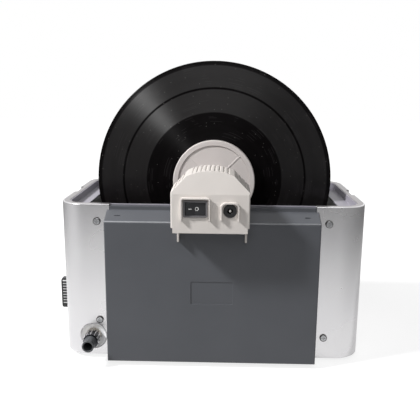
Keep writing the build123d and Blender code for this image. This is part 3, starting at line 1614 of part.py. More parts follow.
with BuildPart() as spindle_hub:
    with BuildSketch(facing(collar_end_y - seat_gap)):
        with Locations((0, spindle_z)):
            Circle(hub_radius)
    extrude(amount=collar_end_y - seat_gap - sleeve_start_y)
    chamfer(spindle_hub.edges(), label_cover_edge)
    with BuildSketch(facing(collar_end_y)):
        with Locations((0, spindle_z)):
            Circle(bore_radius)
    extrude(amount=collar_end_y - sleeve_start_y + 1, mode=Mode.SUBTRACT)
save(spindle_hub, "spindle_hub")

# ================================================================ label covers and seals
# A dished disc on each side of the record keeps the label dry. Four ribs stiffen its floor,
# its rim holds a rubber ring against the label's edge, and its hub clamps the record.
seal_back_y = record_near - seal_thickness
label_rim_inner = label_cover_radius - label_cover_band
seal_outer_radius = seal_inner_radius + seal_width
rim_lip_radius = seal_outer_radius + seat_gap
record_plane = Plane((0, body_y + record_offset, 0), z_dir=(0, 1, 0))

with BuildPart() as inner_label_cover:
    with BuildSketch(side(0)) as cover_section:
        turned(
            spindle_z,
            (record_near, bore_radius),
            (collar_end_y, bore_radius),
            (collar_end_y, hub_collar_radius),
            (label_floor_y, hub_collar_radius),
            (label_floor_y, label_rim_inner),
            (label_front_y, label_rim_inner),
            (label_front_y, label_cover_radius),
            (record_near - seat_gap, label_cover_radius),
            (record_near - seat_gap, rim_lip_radius),
            (seal_back_y, rim_lip_radius),
            (seal_back_y, seal_inner_radius - seat_gap),
            (label_floor_y + label_cover_floor, seal_inner_radius - seat_gap),
            (label_floor_y + label_cover_floor, hub_radius),
            (record_near, hub_radius),
        )
    revolve(axis=spindle_axis)
    front_rims = inner_label_cover.faces().filter_by(Axis.Y).group_by(Axis.Y)[1].edges()
    fillet(front_rims.sort_by(SortBy.LENGTH)[-1], label_cover_edge)
    with BuildSketch(facing(label_floor_y)):
        with Locations((0, spindle_z)):
            with PolarLocations((hub_collar_radius + label_rim_inner) / 2, rib_count, start_angle=45):
                Rectangle(label_rim_inner - hub_collar_radius + label_cover_edge, rib_thickness)
    extrude(amount=rib_height)
save(inner_label_cover, "inner_label_cover")

with BuildPart() as outer_label_cover:
    mirror(inner_label_cover.part, about=record_plane)
save(outer_label_cover, "outer_label_cover")

with BuildPart() as label_seals:
    for seal_y in (record_near, record_far + seal_thickness):
        with BuildSketch(facing(seal_y)):
            with Locations((0, spindle_z)):
                Circle(seal_outer_radius)
                Circle(seal_inner_radius, mode=Mode.SUBTRACT)
        extrude(amount=seal_thickness)
save(label_seals, "label_seals")

# ================================================================ record
# A twelve-inch record on edge: a raised label area and rim bead with the grooves between.
half_thickness = record_thickness / 2
half_groove = record_groove_thickness / 2
groove_outer_radius = record_radius - record_edge_width

with BuildPart() as record:
    with BuildSketch(side(0)):
        turned(
            spindle_z,
            (record_near, spindle_radius + record_hole_clearance),
            (record_near, label_radius),
            (record_offset - half_groove, label_radius + half_thickness),
            (record_offset - half_groove, groove_outer_radius - half_thickness),
            (record_near, groove_outer_radius),
            (record_near, record_radius - half_thickness),
            (record_offset, record_radius),
            (record_far, record_radius - half_thickness),
            (record_far, groove_outer_radius),
            (record_offset + half_groove, groove_outer_radius - half_thickness),
            (record_offset + half_groove, label_radius + half_thickness),
            (record_far, label_radius),
            (record_far, spindle_radius + record_hole_clearance),
        )
    revolve(axis=spindle_axis)
save(record, "record")

# ================================================================ clamp nut
# Fluted finger nut that draws the outer cover, record and inner cover together.
with BuildPart() as clamp_nut:
    with BuildSketch(facing(nut_end_y)):
        with Locations((0, spindle_z)):
            Circle(clamp_radius)
            with PolarLocations(clamp_radius + clamp_flute_radius / 2, clamp_flute_count):
                Circle(clamp_flute_radius, mode=Mode.SUBTRACT)
    extrude(amount=clamp_length)
    chamfer(clamp_nut.faces().sort_by(Axis.Y)[-1].edges(), label_cover_edge / 2)
    with BuildSketch(facing(nut_end_y)):
        with Locations((0, spindle_z)):
            Circle(bore_radius)
    extrude(amount=clamp_length, mode=Mode.SUBTRACT)
save(clamp_nut, "clamp_nut")
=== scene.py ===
import json
import math
import bpy
from mathutils import Matrix, Vector


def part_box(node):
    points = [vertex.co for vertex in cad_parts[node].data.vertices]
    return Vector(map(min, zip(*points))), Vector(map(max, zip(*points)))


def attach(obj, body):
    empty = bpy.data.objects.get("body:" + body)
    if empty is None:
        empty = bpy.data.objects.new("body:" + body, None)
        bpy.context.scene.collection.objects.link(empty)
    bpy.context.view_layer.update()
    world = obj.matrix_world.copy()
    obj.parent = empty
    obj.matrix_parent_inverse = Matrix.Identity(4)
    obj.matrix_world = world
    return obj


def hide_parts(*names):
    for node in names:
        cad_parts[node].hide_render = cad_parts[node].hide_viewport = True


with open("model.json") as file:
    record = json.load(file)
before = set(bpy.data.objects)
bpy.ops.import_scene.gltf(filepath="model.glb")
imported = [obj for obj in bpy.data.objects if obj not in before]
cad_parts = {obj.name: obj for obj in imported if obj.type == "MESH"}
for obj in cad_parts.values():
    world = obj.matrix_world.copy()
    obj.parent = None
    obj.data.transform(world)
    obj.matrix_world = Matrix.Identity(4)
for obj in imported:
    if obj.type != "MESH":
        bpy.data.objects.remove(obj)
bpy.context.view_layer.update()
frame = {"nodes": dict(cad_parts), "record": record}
nodes = frame["nodes"]
mm = 0.001

# ---------------------------------------------------------------- studio: table, room and lamps
# The machine stands on a matt pale grey table that runs out of sight in a white room. The table
# glows white for the camera, a little less near the machine, and keeps the machine's shadow.
# Behind the camera the room is darker, which the upright metal shows.


def linear(colour):
    """An sRGB hex colour such as "55575B" as linear red, green, blue and alpha."""
    shares = [int(colour[at:at + 2], 16) / 255 for at in (0, 2, 4)]
    return [s / 12.92 if s <= 0.04045 else ((s + 0.055) / 1.055) ** 2.4 for s in shares] + [1]


def add(tree, kind, values=(), links=(), **settings):
    """Adds a shader node with its settings, its socket values and its (input, node, output) links."""
    node = tree.nodes.new("ShaderNode" + kind)
    for name, setting in settings.items():
        setattr(node, name, setting)
    for socket, value in dict(values).items():
        node.inputs[socket].default_value = value
    for socket, source, output in links:
        tree.links.new(source.outputs[output], node.inputs[socket])
    return node


def new_material(name):
    """An empty node material and its tree."""
    material = bpy.data.materials.new(name)
    material.use_nodes = True
    material.node_tree.nodes.clear()
    return material, material.node_tree


# How strongly the table glows for the camera and in reflections, up to one distance from its
# middle and past another, in metres.
table_half_width = 4.0
table_front = -1.0
table_back = 5.0
glow_from = 0.30
glow_to = 0.90
glow_near = 0.80
glow_far = 1.0
metal_near = 0.55
metal_far = 0.0
bpy.ops.object.select_all(action="DESELECT")
bpy.ops.mesh.primitive_plane_add(size=2, location=(0, (table_front + table_back) / 2, 0))
table = bpy.context.object
table.name = "white_table"
table.scale = (table_half_width, (table_back - table_front) / 2, 1)
bpy.ops.object.transform_apply(location=True, rotation=True, scale=True)
# Matt laminate: pale grey, so that the glow and the lamps together make a plain white.
table_laminate, tree = new_material("matt_pale_grey_laminate")
path = add(tree, "LightPath")
where = add(tree, "TexCoord")
away = add(tree, "VectorMath", links=[(0, where, "Object")], operation="LENGTH")
near_far = {"From Min": glow_from, "From Max": glow_to}
eye_glow = add(
    tree, "MapRange", {**near_far, "To Min": glow_near, "To Max": glow_far}, [("Value", away, "Value")]
)
metal_glow = add(
    tree, "MapRange", {**near_far, "To Min": metal_near, "To Max": metal_far}, [("Value", away, "Value")]
)
to_eye = add(tree, "Math", links=[(0, path, "Is Camera Ray"), (1, eye_glow, 0)], operation="MULTIPLY")
through = add(
    tree, "Math", links=[(0, path, "Is Glossy Ray"), (1, path, "Is Transmission Ray")], operation="MAXIMUM"
)
to_metal = add(tree, "Math", links=[(0, through, 0), (1, metal_glow, 0)], operation="MULTIPLY")
glow = add(tree, "Math", links=[(0, to_eye, 0), (1, to_metal, 0)], operation="ADD")
matt = add(tree, "BsdfDiffuse", {"Color": linear("A9A9A9")})
light = add(tree, "Emission", {"Color": linear("FFFFFF")}, [("Strength", glow, 0)])
both = add(tree, "AddShader", links=[(0, matt, 0), (1, light, 0)])
add(tree, "OutputMaterial", links=[("Surface", both, 0)])
table.data.materials.append(table_laminate)

# The room's light on dull surfaces, and what metal reflects of it. The room turns from dark to
# light between two shares of the way from straight behind the camera (-1) to behind the machine.
room_light = 0.09
room_behind_camera = 0.20
room_behind_machine = 1.0
dark_until = -0.95
light_after = 0.1
world = bpy.data.worlds.new("white_studio")
bpy.context.scene.world = world
world.use_nodes = True
tree = world.node_tree
tree.nodes.clear()
path = add(tree, "LightPath")
where = add(tree, "TexCoord")
directions = add(tree, "SeparateXYZ", links=[("Vector", where, "Generated")])
depth = add(
    tree,
    "MapRange",
    {
        "From Min": dark_until,
        "From Max": light_after,
        "To Min": room_behind_camera,
        "To Max": room_behind_machine,
    },
    [("Value", directions, "Y")],
    interpolation_type="SMOOTHSTEP",
)
through = add(
    tree, "Math", links=[(0, path, "Is Glossy Ray"), (1, path, "Is Transmission Ray")], operation="MAXIMUM"
)
soft = add(tree, "MapRange", {"To Min": room_light}, [("Value", through, 0), ("To Max", depth, 0)])
seen = add(tree, "MapRange", {"To Max": 1.0}, [("Value", path, "Is Camera Ray"), ("To Min", soft, 0)])
air = add(tree, "Background", {"Color": linear("FFFFFF")}, [("Strength", seen, 0)])
add(tree, "OutputWorld", links=[("Surface", air, 0)])

# The key lamp is small and stands high at the left, a little in front, and throws the drive
# unit's shadow down to the right. Two large weak softboxes fill from above and from the front.
machine_middle = (0, 0, 0.15)
for name, place, width, height, power in (
    ("left_key", (-1.25, -0.57, 1.34), 0.20, 0.20, 43.0),
    ("overhead_softbox", (0.3, -0.1, 1.8), 1.6, 1.2, 2.0),
    ("front_softbox", (0.1, -1.5, 1.4), 1.4, 1.0, 8.5),
):
    lamp = bpy.data.lights.new(name, "AREA")
    lamp.shape = "RECTANGLE"
    lamp.size = width
    lamp.size_y = height
    lamp.energy = power
    holder = bpy.data.objects.new(name, lamp)
    bpy.context.scene.collection.objects.link(holder)
    facing = (Vector(machine_middle) - Vector(place)).to_track_quat("-Z", "Y")
    holder.matrix_world = Matrix.Translation(place) @ facing.to_matrix().to_4x4()

# ---------------------------------------------------------------- camera
# A normal lens on the drive unit's side, about 0.6 m from the cover and a little lower than the
# record's upper edge, looking slightly down. Its place, turn and length are fitted to the photo.
camera_place = (16.763 * mm, -736.623 * mm, 332.529 * mm)
camera_down = math.radians(12.104)
camera_left = math.radians(1.2637)
camera_roll = math.radians(0.5178)
focal_pixels = 576.605
photo_pixels = 420
sensor = 36.0
eye = bpy.data.cameras.new("camera")
eye.sensor_width = sensor
eye.lens = focal_pixels / photo_pixels * sensor
camera = bpy.data.objects.new("camera", eye)
bpy.context.scene.collection.objects.link(camera)
camera.matrix_world = (
    Matrix.Translation(camera_place)
    @ Matrix.Rotation(camera_left, 4, "Z")
    @ Matrix.Rotation(math.pi / 2 - camera_down, 4, "X")
    @ Matrix.Rotation(camera_roll, 4, "Z")
)
bpy.context.scene.camera = camera
bpy.context.scene.view_settings.view_transform = "Standard"

# ---------------------------------------------------------------- base, feet
# A folded zinc-plated steel tray closes the body from below. Four black rubber feet are held
# to it by steel screws in recesses.
patch_from = 0.3
patch_to = 0.7
patch_gloss = 0.04
edge_rays = 6


def surfaced(
    name, colour, other, roughness,
    grain_mm=0.8, relief_mm=0.010, edge_mm=0.3, mottle_mm=25.0, metallic=0.0, more=(),
):
    """A finish with two close tones in soft patches, a fine grain in relief and eased edges."""
    material, tree = new_material(name)
    where = add(tree, "TexCoord")
    patches = add(
        tree, "TexNoise", {"Scale": 1 / (mottle_mm * mm), "Detail": 3.0}, [("Vector", where, "Object")]
    )
    tone = add(tree, "ValToRGB", links=[("Fac", patches, "Fac")])
    tone.color_ramp.elements[0].position = patch_from
    tone.color_ramp.elements[0].color = linear(colour)
    tone.color_ramp.elements[1].position = patch_to
    tone.color_ramp.elements[1].color = linear(other)
    grain = add(
        tree, "TexNoise", {"Scale": 1 / (grain_mm * mm), "Detail": 2.0}, [("Vector", where, "Object")]
    )
    eased = add(tree, "Bevel", {"Radius": edge_mm * mm}, samples=edge_rays)
    relief = add(
        tree,
        "Bump",
        {"Strength": 1.0, "Distance": relief_mm * mm},
        [("Height", grain, "Fac"), ("Normal", eased, "Normal")],
    )
    gloss = add(
        tree,
        "MapRange",
        {"To Min": roughness - patch_gloss, "To Max": roughness + patch_gloss},
        [("Value", patches, "Fac")],
    )
    skin = add(
        tree,
        "BsdfPrincipled",
        {"Metallic": metallic, **dict(more)},
        [("Base Color", tone, "Color"), ("Roughness", gloss, "Result"), ("Normal", relief, "Normal")],
    )
    add(tree, "OutputMaterial", links=[("Surface", skin, "BSDF")])
    return material


def dress(material, *names):
    """Puts a material on CAD nodes."""
    for name in names:
        mesh = nodes[name].data
        mesh.materials.clear()
        mesh.materials.append(material)


# Zinc plating: satin grey metal with faint cloudy patches.
zinc_plated_steel = surfaced(
    "zinc_plated_steel", "A9ABAC", "B6B7B5", 0.38, grain_mm=1.2, mottle_mm=12.0, metallic=1.0
)
# Moulded rubber: nearly black, dull, with a slight bloom.
black_rubber = surfaced(
    "moulded_black_rubber", "1B1B1C", "232324", 0.72, grain_mm=0.5, relief_mm=0.02, edge_mm=0.5
)
# Nickel-plated screw steel: bright, with edges that catch the light.
plated_steel = surfaced(
    "nickel_plated_steel", "B9BABC", "A8A9AB", 0.24,
    relief_mm=0.004, edge_mm=0.25, mottle_mm=6.0, metallic=1.0,
)
dress(zinc_plated_steel, "base_plate")
dress(black_rubber, "feet")
dress(plated_steel, "foot_screws")

# ---------------------------------------------------------------- outer shell
# One rounded wrap of aluminium sheet, held from inside by steel brackets and four cross-head
# screws. A dark steel ring round each screw's head is painted shade, the shadowed edge of its seat.


def finish(piece, body, material, smooth=40.0):
    """Smooths a new piece's shading between its real edges, dresses it and hangs it on a body."""
    bpy.ops.object.select_all(action="DESELECT")
    piece.select_set(True)
    bpy.context.view_layer.objects.active = piece
    bpy.ops.object.shade_smooth_by_angle(angle=math.radians(smooth))
    piece.data.materials.clear()
    piece.data.materials.append(material)
    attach(piece, body)


def ring(name, middle, radius, width, depth, turn=0.0):
    """A flat ring that faces along Y, turned about its own upright axis."""
    bpy.ops.object.select_all(action="DESELECT")
    bpy.ops.mesh.primitive_circle_add(vertices=32, radius=radius, fill_type="NGON", location=(0, 0, 0))
    piece = bpy.context.object
    piece.name = name
    bpy.ops.object.mode_set(mode="EDIT")
    bpy.ops.mesh.select_all(action="SELECT")
    bpy.ops.mesh.inset(thickness=width)
    bpy.ops.mesh.delete(type="FACE")
    bpy.ops.mesh.select_all(action="SELECT")
    bpy.ops.mesh.extrude_region_move(TRANSFORM_OT_translate={"value": (0, 0, depth)})
    bpy.ops.mesh.select_all(action="SELECT")
    bpy.ops.mesh.normals_make_consistent(inside=False)
    bpy.ops.object.mode_set(mode="OBJECT")
    piece.matrix_world = (
        Matrix.Translation(middle)
        @ Matrix.Rotation(turn, 4, "Z")
        @ Matrix.Rotation(math.pi / 2, 4, "X")
        @ Matrix.Translation((0, 0, -depth / 2))
    )
    bpy.ops.object.transform_apply(location=True, rotation=True, scale=True)
    return piece


def joined(name, pieces):
    """Several pieces of one body as one named piece."""
    bpy.ops.object.select_all(action="DESELECT")
    for piece in pieces:
        piece.select_set(True)
    bpy.context.view_layer.objects.active = pieces[0]
    bpy.ops.object.join()
    pieces[0].name = name
    return pieces[0]


# Bead blasting and clear anodising leave a fine sparkling grain and soft reflections. The grain
# is drawn coarser than real, so that it shows.
blasted_aluminium = surfaced(
    "bead_blasted_aluminium", "DCDBDD", "E3E2E3", 0.27,
    grain_mm=1.1, relief_mm=0.030, edge_mm=0.5, mottle_mm=60.0, metallic=1.0,
)
# Dark steel for the rings round the screws: painted shade of their seats, a dark brownish skin with a dull
# metal shine.
seat_shade_steel = surfaced(
    "dark_steel_painted_shade", "2E2A27", "36322F", 0.40,
    grain_mm=0.6, relief_mm=0.006, edge_mm=0.2, mottle_mm=6.0, metallic=0.7,
)
dress(blasted_aluminium, "outer_shell")
dress(zinc_plated_steel, "rear_brackets")
dress(plated_steel, "shell_screws")
screws_low, screws_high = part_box("shell_screws")
shell_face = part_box("outer_shell")[0].y
head_radius = 4.3 * mm
seat_radius = 4.45 * mm
seat_wide = 1.05 * mm
seat_deep = 2.7 * mm
left_x = screws_low.x + head_radius
right_x = screws_high.x - head_radius
upper_z = screws_high.z - head_radius
lower_z = screws_low.z + head_radius
above_outlet_z = 51.5 * mm
seats = []
for x, z in ((left_x, upper_z), (left_x, above_outlet_z), (right_x, upper_z), (right_x, lower_z)):
    seats.append(ring("seat", (x, shell_face, z), seat_radius, seat_wide, seat_deep))
# The rings are painted shade: dark steel where each screw's seat lies in shadow.
screw_seat_shade_rings = joined("screw_seat_shade_rings", seats)
finish(screw_seat_shade_rings, "root", seat_shade_steel)

# ---------------------------------------------------------------- top rim
# A ring inside the shell's upper edge, scooped at both ends so that fingers can grip the
# machine there. It is sprayed silver.

# Silver paint: a satin coat with a soft metallic sheen and no clear reflection.
silver_paint = surfaced(
    "satin_silver_paint", "A5A2A3", "ACA9AA", 0.36, edge_mm=0.8, mottle_mm=40.0, metallic=0.85
)
dress(silver_paint, "top_rim")

# ---------------------------------------------------------------- deck liner
# A moulded tray that lies inside the rim and covers the ground between it and the bath's mouth.
# It is of grey plastic.

# Moulded ABS: an even, finely grained grey that spreads the light.
deck_plastic = surfaced(
    "grained_grey_abs", "93909A", "9A979F", 0.42, grain_mm=0.7, relief_mm=0.015, edge_mm=0.8
)
dress(deck_plastic, "deck_liner")

# ---------------------------------------------------------------- tank and what hangs under it
# A deep-drawn stainless bath hangs by its flange, sealed by a rubber gasket. Bonded to it are a
# silicone heating mat on its far wall and, under its floor, aluminium horns that carry ceramic
# rings and steel tail masses.
line_from = 0.35
line_to = 0.65
line_gloss = 0.06


def brushed(name, colour, other, roughness, line_mm, run_mm, relief_mm, edge_mm=0.3, along="X"):
    """A metal brushed or drawn along one axis: fine lines, long in that direction."""
    material, tree = new_material(name)
    where = add(tree, "TexCoord")
    runs = [1 / (run_mm * mm) if axis == along else 1 / (line_mm * mm) for axis in "XYZ"]
    stretched = add(tree, "Mapping", {"Scale": runs}, [("Vector", where, "Object")])
    lines = add(tree, "TexNoise", {"Scale": 1.0, "Detail": 3.0}, [("Vector", stretched, "Vector")])
    tone = add(tree, "ValToRGB", links=[("Fac", lines, "Fac")])
    tone.color_ramp.elements[0].position = line_from
    tone.color_ramp.elements[0].color = linear(colour)
    tone.color_ramp.elements[1].position = line_to
    tone.color_ramp.elements[1].color = linear(other)
    eased = add(tree, "Bevel", {"Radius": edge_mm * mm}, samples=edge_rays)
    relief = add(
        tree,
        "Bump",
        {"Strength": 1.0, "Distance": relief_mm * mm},
        [("Height", lines, "Fac"), ("Normal", eased, "Normal")],
    )
    gloss = add(
        tree,
        "MapRange",
        {"To Min": roughness - line_gloss, "To Max": roughness + line_gloss},
        [("Value", lines, "Fac")],
    )
    skin = add(
        tree,
        "BsdfPrincipled",
        {"Metallic": 1.0},
        [("Base Color", tone, "Color"), ("Roughness", gloss, "Result"), ("Normal", relief, "Normal")],
    )
    add(tree, "OutputMaterial", links=[("Surface", skin, "BSDF")])
    return material


# Brushed stainless steel: fine level lines that draw the light out into soft streaks.
drawn_stainless = brushed("brushed_stainless_steel", "B4B4B3", "C6C6C4", 0.34, 0.7, 60.0, 0.006)
# Turned aluminium: a plain pale metal, satin from the tool.
turned_aluminium = surfaced("turned_aluminium", "B9BABC", "C2C3C4", 0.35, grain_mm=1.0, metallic=1.0)
# Silicone mat: brick orange and dull, with a coarse skin.
heater_silicone = surfaced("orange_silicone", "B5532A", "BD5B31", 0.60, grain_mm=1.5, relief_mm=0.050)
# Silvered ceramic: a matt, slightly tarnished silver coat.
piezo_ceramic = surfaced("silvered_ceramic", "8E8577", "978E80", 0.50)
# Turned steel: darker than the aluminium and a little brighter in its shine.
turned_steel = surfaced(
    "turned_steel", "A5A6A8", "AEAFB0", 0.30, grain_mm=1.0, relief_mm=0.006, metallic=1.0
)
dress(drawn_stainless, "tank")
dress(black_rubber, "tank_gasket")
dress(turned_aluminium, "transducer_horns")
dress(heater_silicone, "heater_pad")
dress(piezo_ceramic, "piezo_rings")
dress(turned_steel, "transducer_tails")

# ---------------------------------------------------------------- rear cover
# A dark grey moulding that bulges out of the near wall, screwed on from inside. A thin bead runs
# along the edge of its ledge, painted pale as the highlight that this edge catches.


def block(name, middle, size, edge, turn=0.0):
    """A small block with eased edges, turned about its own upright axis, in metres and radians."""
    bpy.ops.object.select_all(action="DESELECT")
    bpy.ops.mesh.primitive_cube_add(size=1, location=(0, 0, 0))
    piece = bpy.context.object
    piece.name = name
    bpy.ops.object.mode_set(mode="EDIT")
    bpy.ops.mesh.select_all(action="SELECT")
    bpy.ops.transform.resize(value=size)
    bpy.ops.mesh.bevel(offset=edge, segments=2, affect="EDGES")
    bpy.ops.object.mode_set(mode="OBJECT")
    piece.matrix_world = Matrix.Translation(middle) @ Matrix.Rotation(turn, 4, "Z")
    bpy.ops.object.transform_apply(location=True, rotation=True, scale=True)
    return piece


# Spark-eroded ABS: slate grey with a fine even texture and a soft satin shine.
slate_abs = surfaced(
    "slate_grey_abs", "4D4F54", "525459", 0.42, relief_mm=0.018, edge_mm=0.8, mottle_mm=70.0
)
# The same ABS painted paler and smoother as the ledge edge's highlight, in short uneven stretches.
ledge_highlight_abs = surfaced("slate_abs_painted_highlight", "8C8E92", "96989C", 0.36, mottle_mm=9.0)
dress(slate_abs, "rear_cover")
dress(plated_steel, "cover_screws")
cover_low, cover_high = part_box("rear_cover")
lip_height = 179.4 * mm
lip_thick = 1.7 * mm
lip_sunk = 0.8 * mm
lip_short = 1.0 * mm
lip_edge = 0.6 * mm
# The bead is painted pale as the highlight along the ledge's edge.
cover_lip = block(
    "cover_lip",
    ((cover_low.x + cover_high.x) / 2, cover_low.y + lip_sunk, lip_height),
    (cover_high.x - cover_low.x - lip_short, lip_thick, lip_thick),
    lip_edge,
)
finish(cover_lip, "root", ledge_highlight_abs)

# ---------------------------------------------------------------- boards behind the cover
# The generator's lacquered board, screwed to bosses, with a finned heat sink and a ferrite
# transformer whose coil is wound of enamelled copper wire.

# Solder mask: a thin even lacquer of deep green with a soft shine.
solder_mask = surfaced("green_solder_mask", "1E4B32", "235438", 0.35, grain_mm=1.2)
# Black anodised aluminium: nearly black, with a dull metal shine.
black_anodised = surfaced("black_anodised_aluminium", "1F2022", "26272A", 0.42, grain_mm=1.0, metallic=0.6)
# Sintered ferrite: dark grey and matt like slate.
ferrite = surfaced("grey_ferrite", "3A3A3C", "434345", 0.50, relief_mm=0.020)
# Enamelled wire: glossy copper in even turns, drawn wider than real. A wave repeats after
# 2 pi / (20 x scale).
turn_pitch_mm = 5.65
enamelled_copper, tree = new_material("enamelled_copper_wire")
where = add(tree, "TexCoord")
strands = add(
    tree,
    "TexWave",
    {"Scale": 2 * math.pi / (20 * turn_pitch_mm * mm), "Distortion": 0.6},
    [("Vector", where, "Object")],
    bands_direction="Z",
)
tone = add(tree, "ValToRGB", links=[("Fac", strands, "Fac")])
tone.color_ramp.elements[0].color = linear("7A3E20")
tone.color_ramp.elements[1].color = linear("B8683C")
relief = add(tree, "Bump", {"Strength": 1.0, "Distance": 0.2 * mm}, [("Height", strands, "Fac")])
skin = add(
    tree,
    "BsdfPrincipled",
    {"Metallic": 1.0, "Roughness": 0.3},
    [("Base Color", tone, "Color"), ("Normal", relief, "Normal")],
)
add(tree, "OutputMaterial", links=[("Surface", skin, "BSDF")])
dress(solder_mask, "generator_board")
dress(plated_steel, "board_screws")
dress(black_anodised, "heat_sink")
dress(ferrite, "transformer_core")
dress(enamelled_copper, "transformer_coil")

# ---------------------------------------------------------------- control panel
# A black moulded panel on the far side, screwed over its own board. Behind two smoked windows
# sit unlit three-digit displays, and five light grey keys carry plain printed signs.

# Moulded ABS: black with a satin shine.
panel_abs = surfaced("black_panel_abs", "1C1D1F", "232426", 0.38, grain_mm=0.6, edge_mm=0.6)
# The displays' body: a black plastic that gives back next to no light.
display_black = surfaced("matt_black_display_plastic", "131314", "181819", 0.45)
# Unlit segments: cast resin of a dull brownish red.
unlit_segment = surfaced("red_tinted_resin", "6E4A46", "78524D", 0.35, relief_mm=0.002, edge_mm=0.1)
# Moulded ABS: light grey keys, satin and rounded by eased edges.
key_abs = surfaced("light_grey_key_abs", "C6C7C9", "CDCED0", 0.40, grain_mm=0.6, edge_mm=0.6)
# Pad-printed ink: dark grey, flat and matt.
sign_ink = surfaced(
    "dark_grey_ink", "2A2B2D", "303134", 0.50, grain_mm=0.5, relief_mm=0.002, edge_mm=0.05
)
# Cast acrylic: clear, tinted a dark reddish brown, with a hard shine.
smoked_acrylic = surfaced(
    "smoked_acrylic", "5A3A3A", "604040", 0.06,
    grain_mm=5.0, relief_mm=0.0, more={"Transmission Weight": 1.0, "IOR": 1.49},
)
dress(panel_abs, "control_panel")
dress(solder_mask, "control_board")
dress(plated_steel, "panel_screws")
dress(display_black, "display_digits")
dress(smoked_acrylic, "display_windows")

# Seven bars make a digit, and each of the two displays has three digits.
digit_tall = 11.0 * mm
digit_wide = 6.2 * mm
digit_pitch = 11.0 * mm
bar_wide = 1.1 * mm
bar_gap = 0.3 * mm
bar_deep = 0.3 * mm
bar_edge = 0.12 * mm
display_from_end = 23.0 * mm
blocks_low, blocks_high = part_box("display_digits")
digits_face = blocks_high.y + bar_deep / 2
digits_middle = (blocks_low.z + blocks_high.z) / 2
panel_low, panel_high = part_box("control_panel")
panel_x = (panel_low.x + panel_high.x) / 2
window_low, window_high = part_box("display_windows")
display_out = (window_high.x - window_low.x) / 2 - display_from_end
half_tall = digit_tall / 2 - bar_wide / 2
half_wide = digit_wide / 2 - bar_wide / 2
upright_bar = (bar_wide, bar_deep, half_tall - 2 * bar_gap)
level_bar = (digit_wide - bar_wide - 2 * bar_gap, bar_deep, bar_wide)
bar_places = [(0, z, level_bar) for z in (half_tall, 0, -half_tall)]
bar_places += [(x, z, upright_bar) for x in (-half_wide, half_wide) for z in (-half_tall / 2, half_tall / 2)]
bars = []
for display_x in (panel_x - display_out, panel_x + display_out):
    for place in (-1, 0, 1):
        for x, z, size in bar_places:
            middle = (display_x + place * digit_pitch + x, digits_face, digits_middle + z)
            bars.append(block("bar", middle, size, bar_edge))
segments = joined("display_segments", bars)
finish(segments, "root", unlit_segment)

# The power key has a ring with a bar, and the other keys a minus or a plus.
sign_long = 4.2 * mm
sign_line = 0.8 * mm
sign_deep = 0.2 * mm
sign_edge = 0.08 * mm
for key, button in (
    ("power_key", "power_button"),
    ("time_down_key", "time_down_button"),
    ("time_up_key", "time_up_button"),
    ("heat_down_key", "heat_down_button"),
    ("heat_up_key", "heat_up_button"),
):
    dress(key_abs, key)
    low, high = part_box(key)
    middle = ((low.x + high.x) / 2, high.y, (low.z + high.z) / 2)
    if key == "power_key":
        stroke = (middle[0], middle[1], middle[2] + sign_long / 3)
        signs = [
            ring("loop", middle, sign_long / 2, sign_line, sign_deep),
            block("stroke", stroke, (sign_line, 2 * sign_deep, sign_long / 2), sign_edge),
        ]
    else:
        signs = [block("level", middle, (sign_long, sign_deep, sign_line), sign_edge)]
        if key.endswith("up_key"):
            signs.append(block("upright", middle, (sign_line, sign_deep, sign_long), sign_edge))
    sign = joined(key.replace("key", "sign"), signs)
    finish(sign, button, sign_ink)

# ---------------------------------------------------------------- mains inlet
# A moulded inlet snapped into the right wall, with three flat nickel-plated blades that have
# eased tips. The middle one sits higher, as the earth blade does.

# Moulded PBT: black and satin.
inlet_pbt = surfaced("black_inlet_pbt", "161617", "1B1B1D", 0.40, grain_mm=0.6, edge_mm=0.4)
dress(inlet_pbt, "mains_inlet")
inlet_low, inlet_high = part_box("mains_inlet")
inlet_y = (inlet_low.y + inlet_high.y) / 2
inlet_z = (inlet_low.z + inlet_high.z) / 2
blade_pitch = 7.0 * mm
blade_lift = 4.0 * mm
blade_size = (14.2 * mm, 2.1 * mm, 4.1 * mm)
blade_edge = 0.5 * mm
blade_root = inlet_high.x - 15.0 * mm
blades = []
for place, lift in ((-1, 0), (0, blade_lift), (1, 0)):
    middle = (blade_root + blade_size[0] / 2, inlet_y + place * blade_pitch, inlet_z + lift)
    blades.append(block("blade", middle, blade_size, blade_edge))
inlet_blades = joined("inlet_blades", blades)
finish(inlet_blades, "root", plated_steel)

# ---------------------------------------------------------------- drain cock and hose
# A plated brass plug cock on the bath's wall, turned by a black bar grip outside. Pale bars in its
# grooves are painted highlights, the glints that its ribs catch. A silicone hose on two clips leads from it
# to the outlet.

# Nickel-plated brass: a bright metal, slightly warm.
plated_brass = surfaced("nickel_plated_brass", "B4AFA6", "BDB8AF", 0.30, edge_mm=0.4, metallic=1.0)
# Moulded nylon: black with a fairly clear shine.
grip_nylon = surfaced("black_grip_nylon", "141415", "19191B", 0.30, grain_mm=0.7, edge_mm=0.7)
# Pale grey and dull: painted highlights for the glints on the grip's ribs.
rib_glint_paint = surfaced("pale_grey_painted_glints", "C2C2C3", "CACACB", 0.55, grain_mm=0.6, edge_mm=0.2)
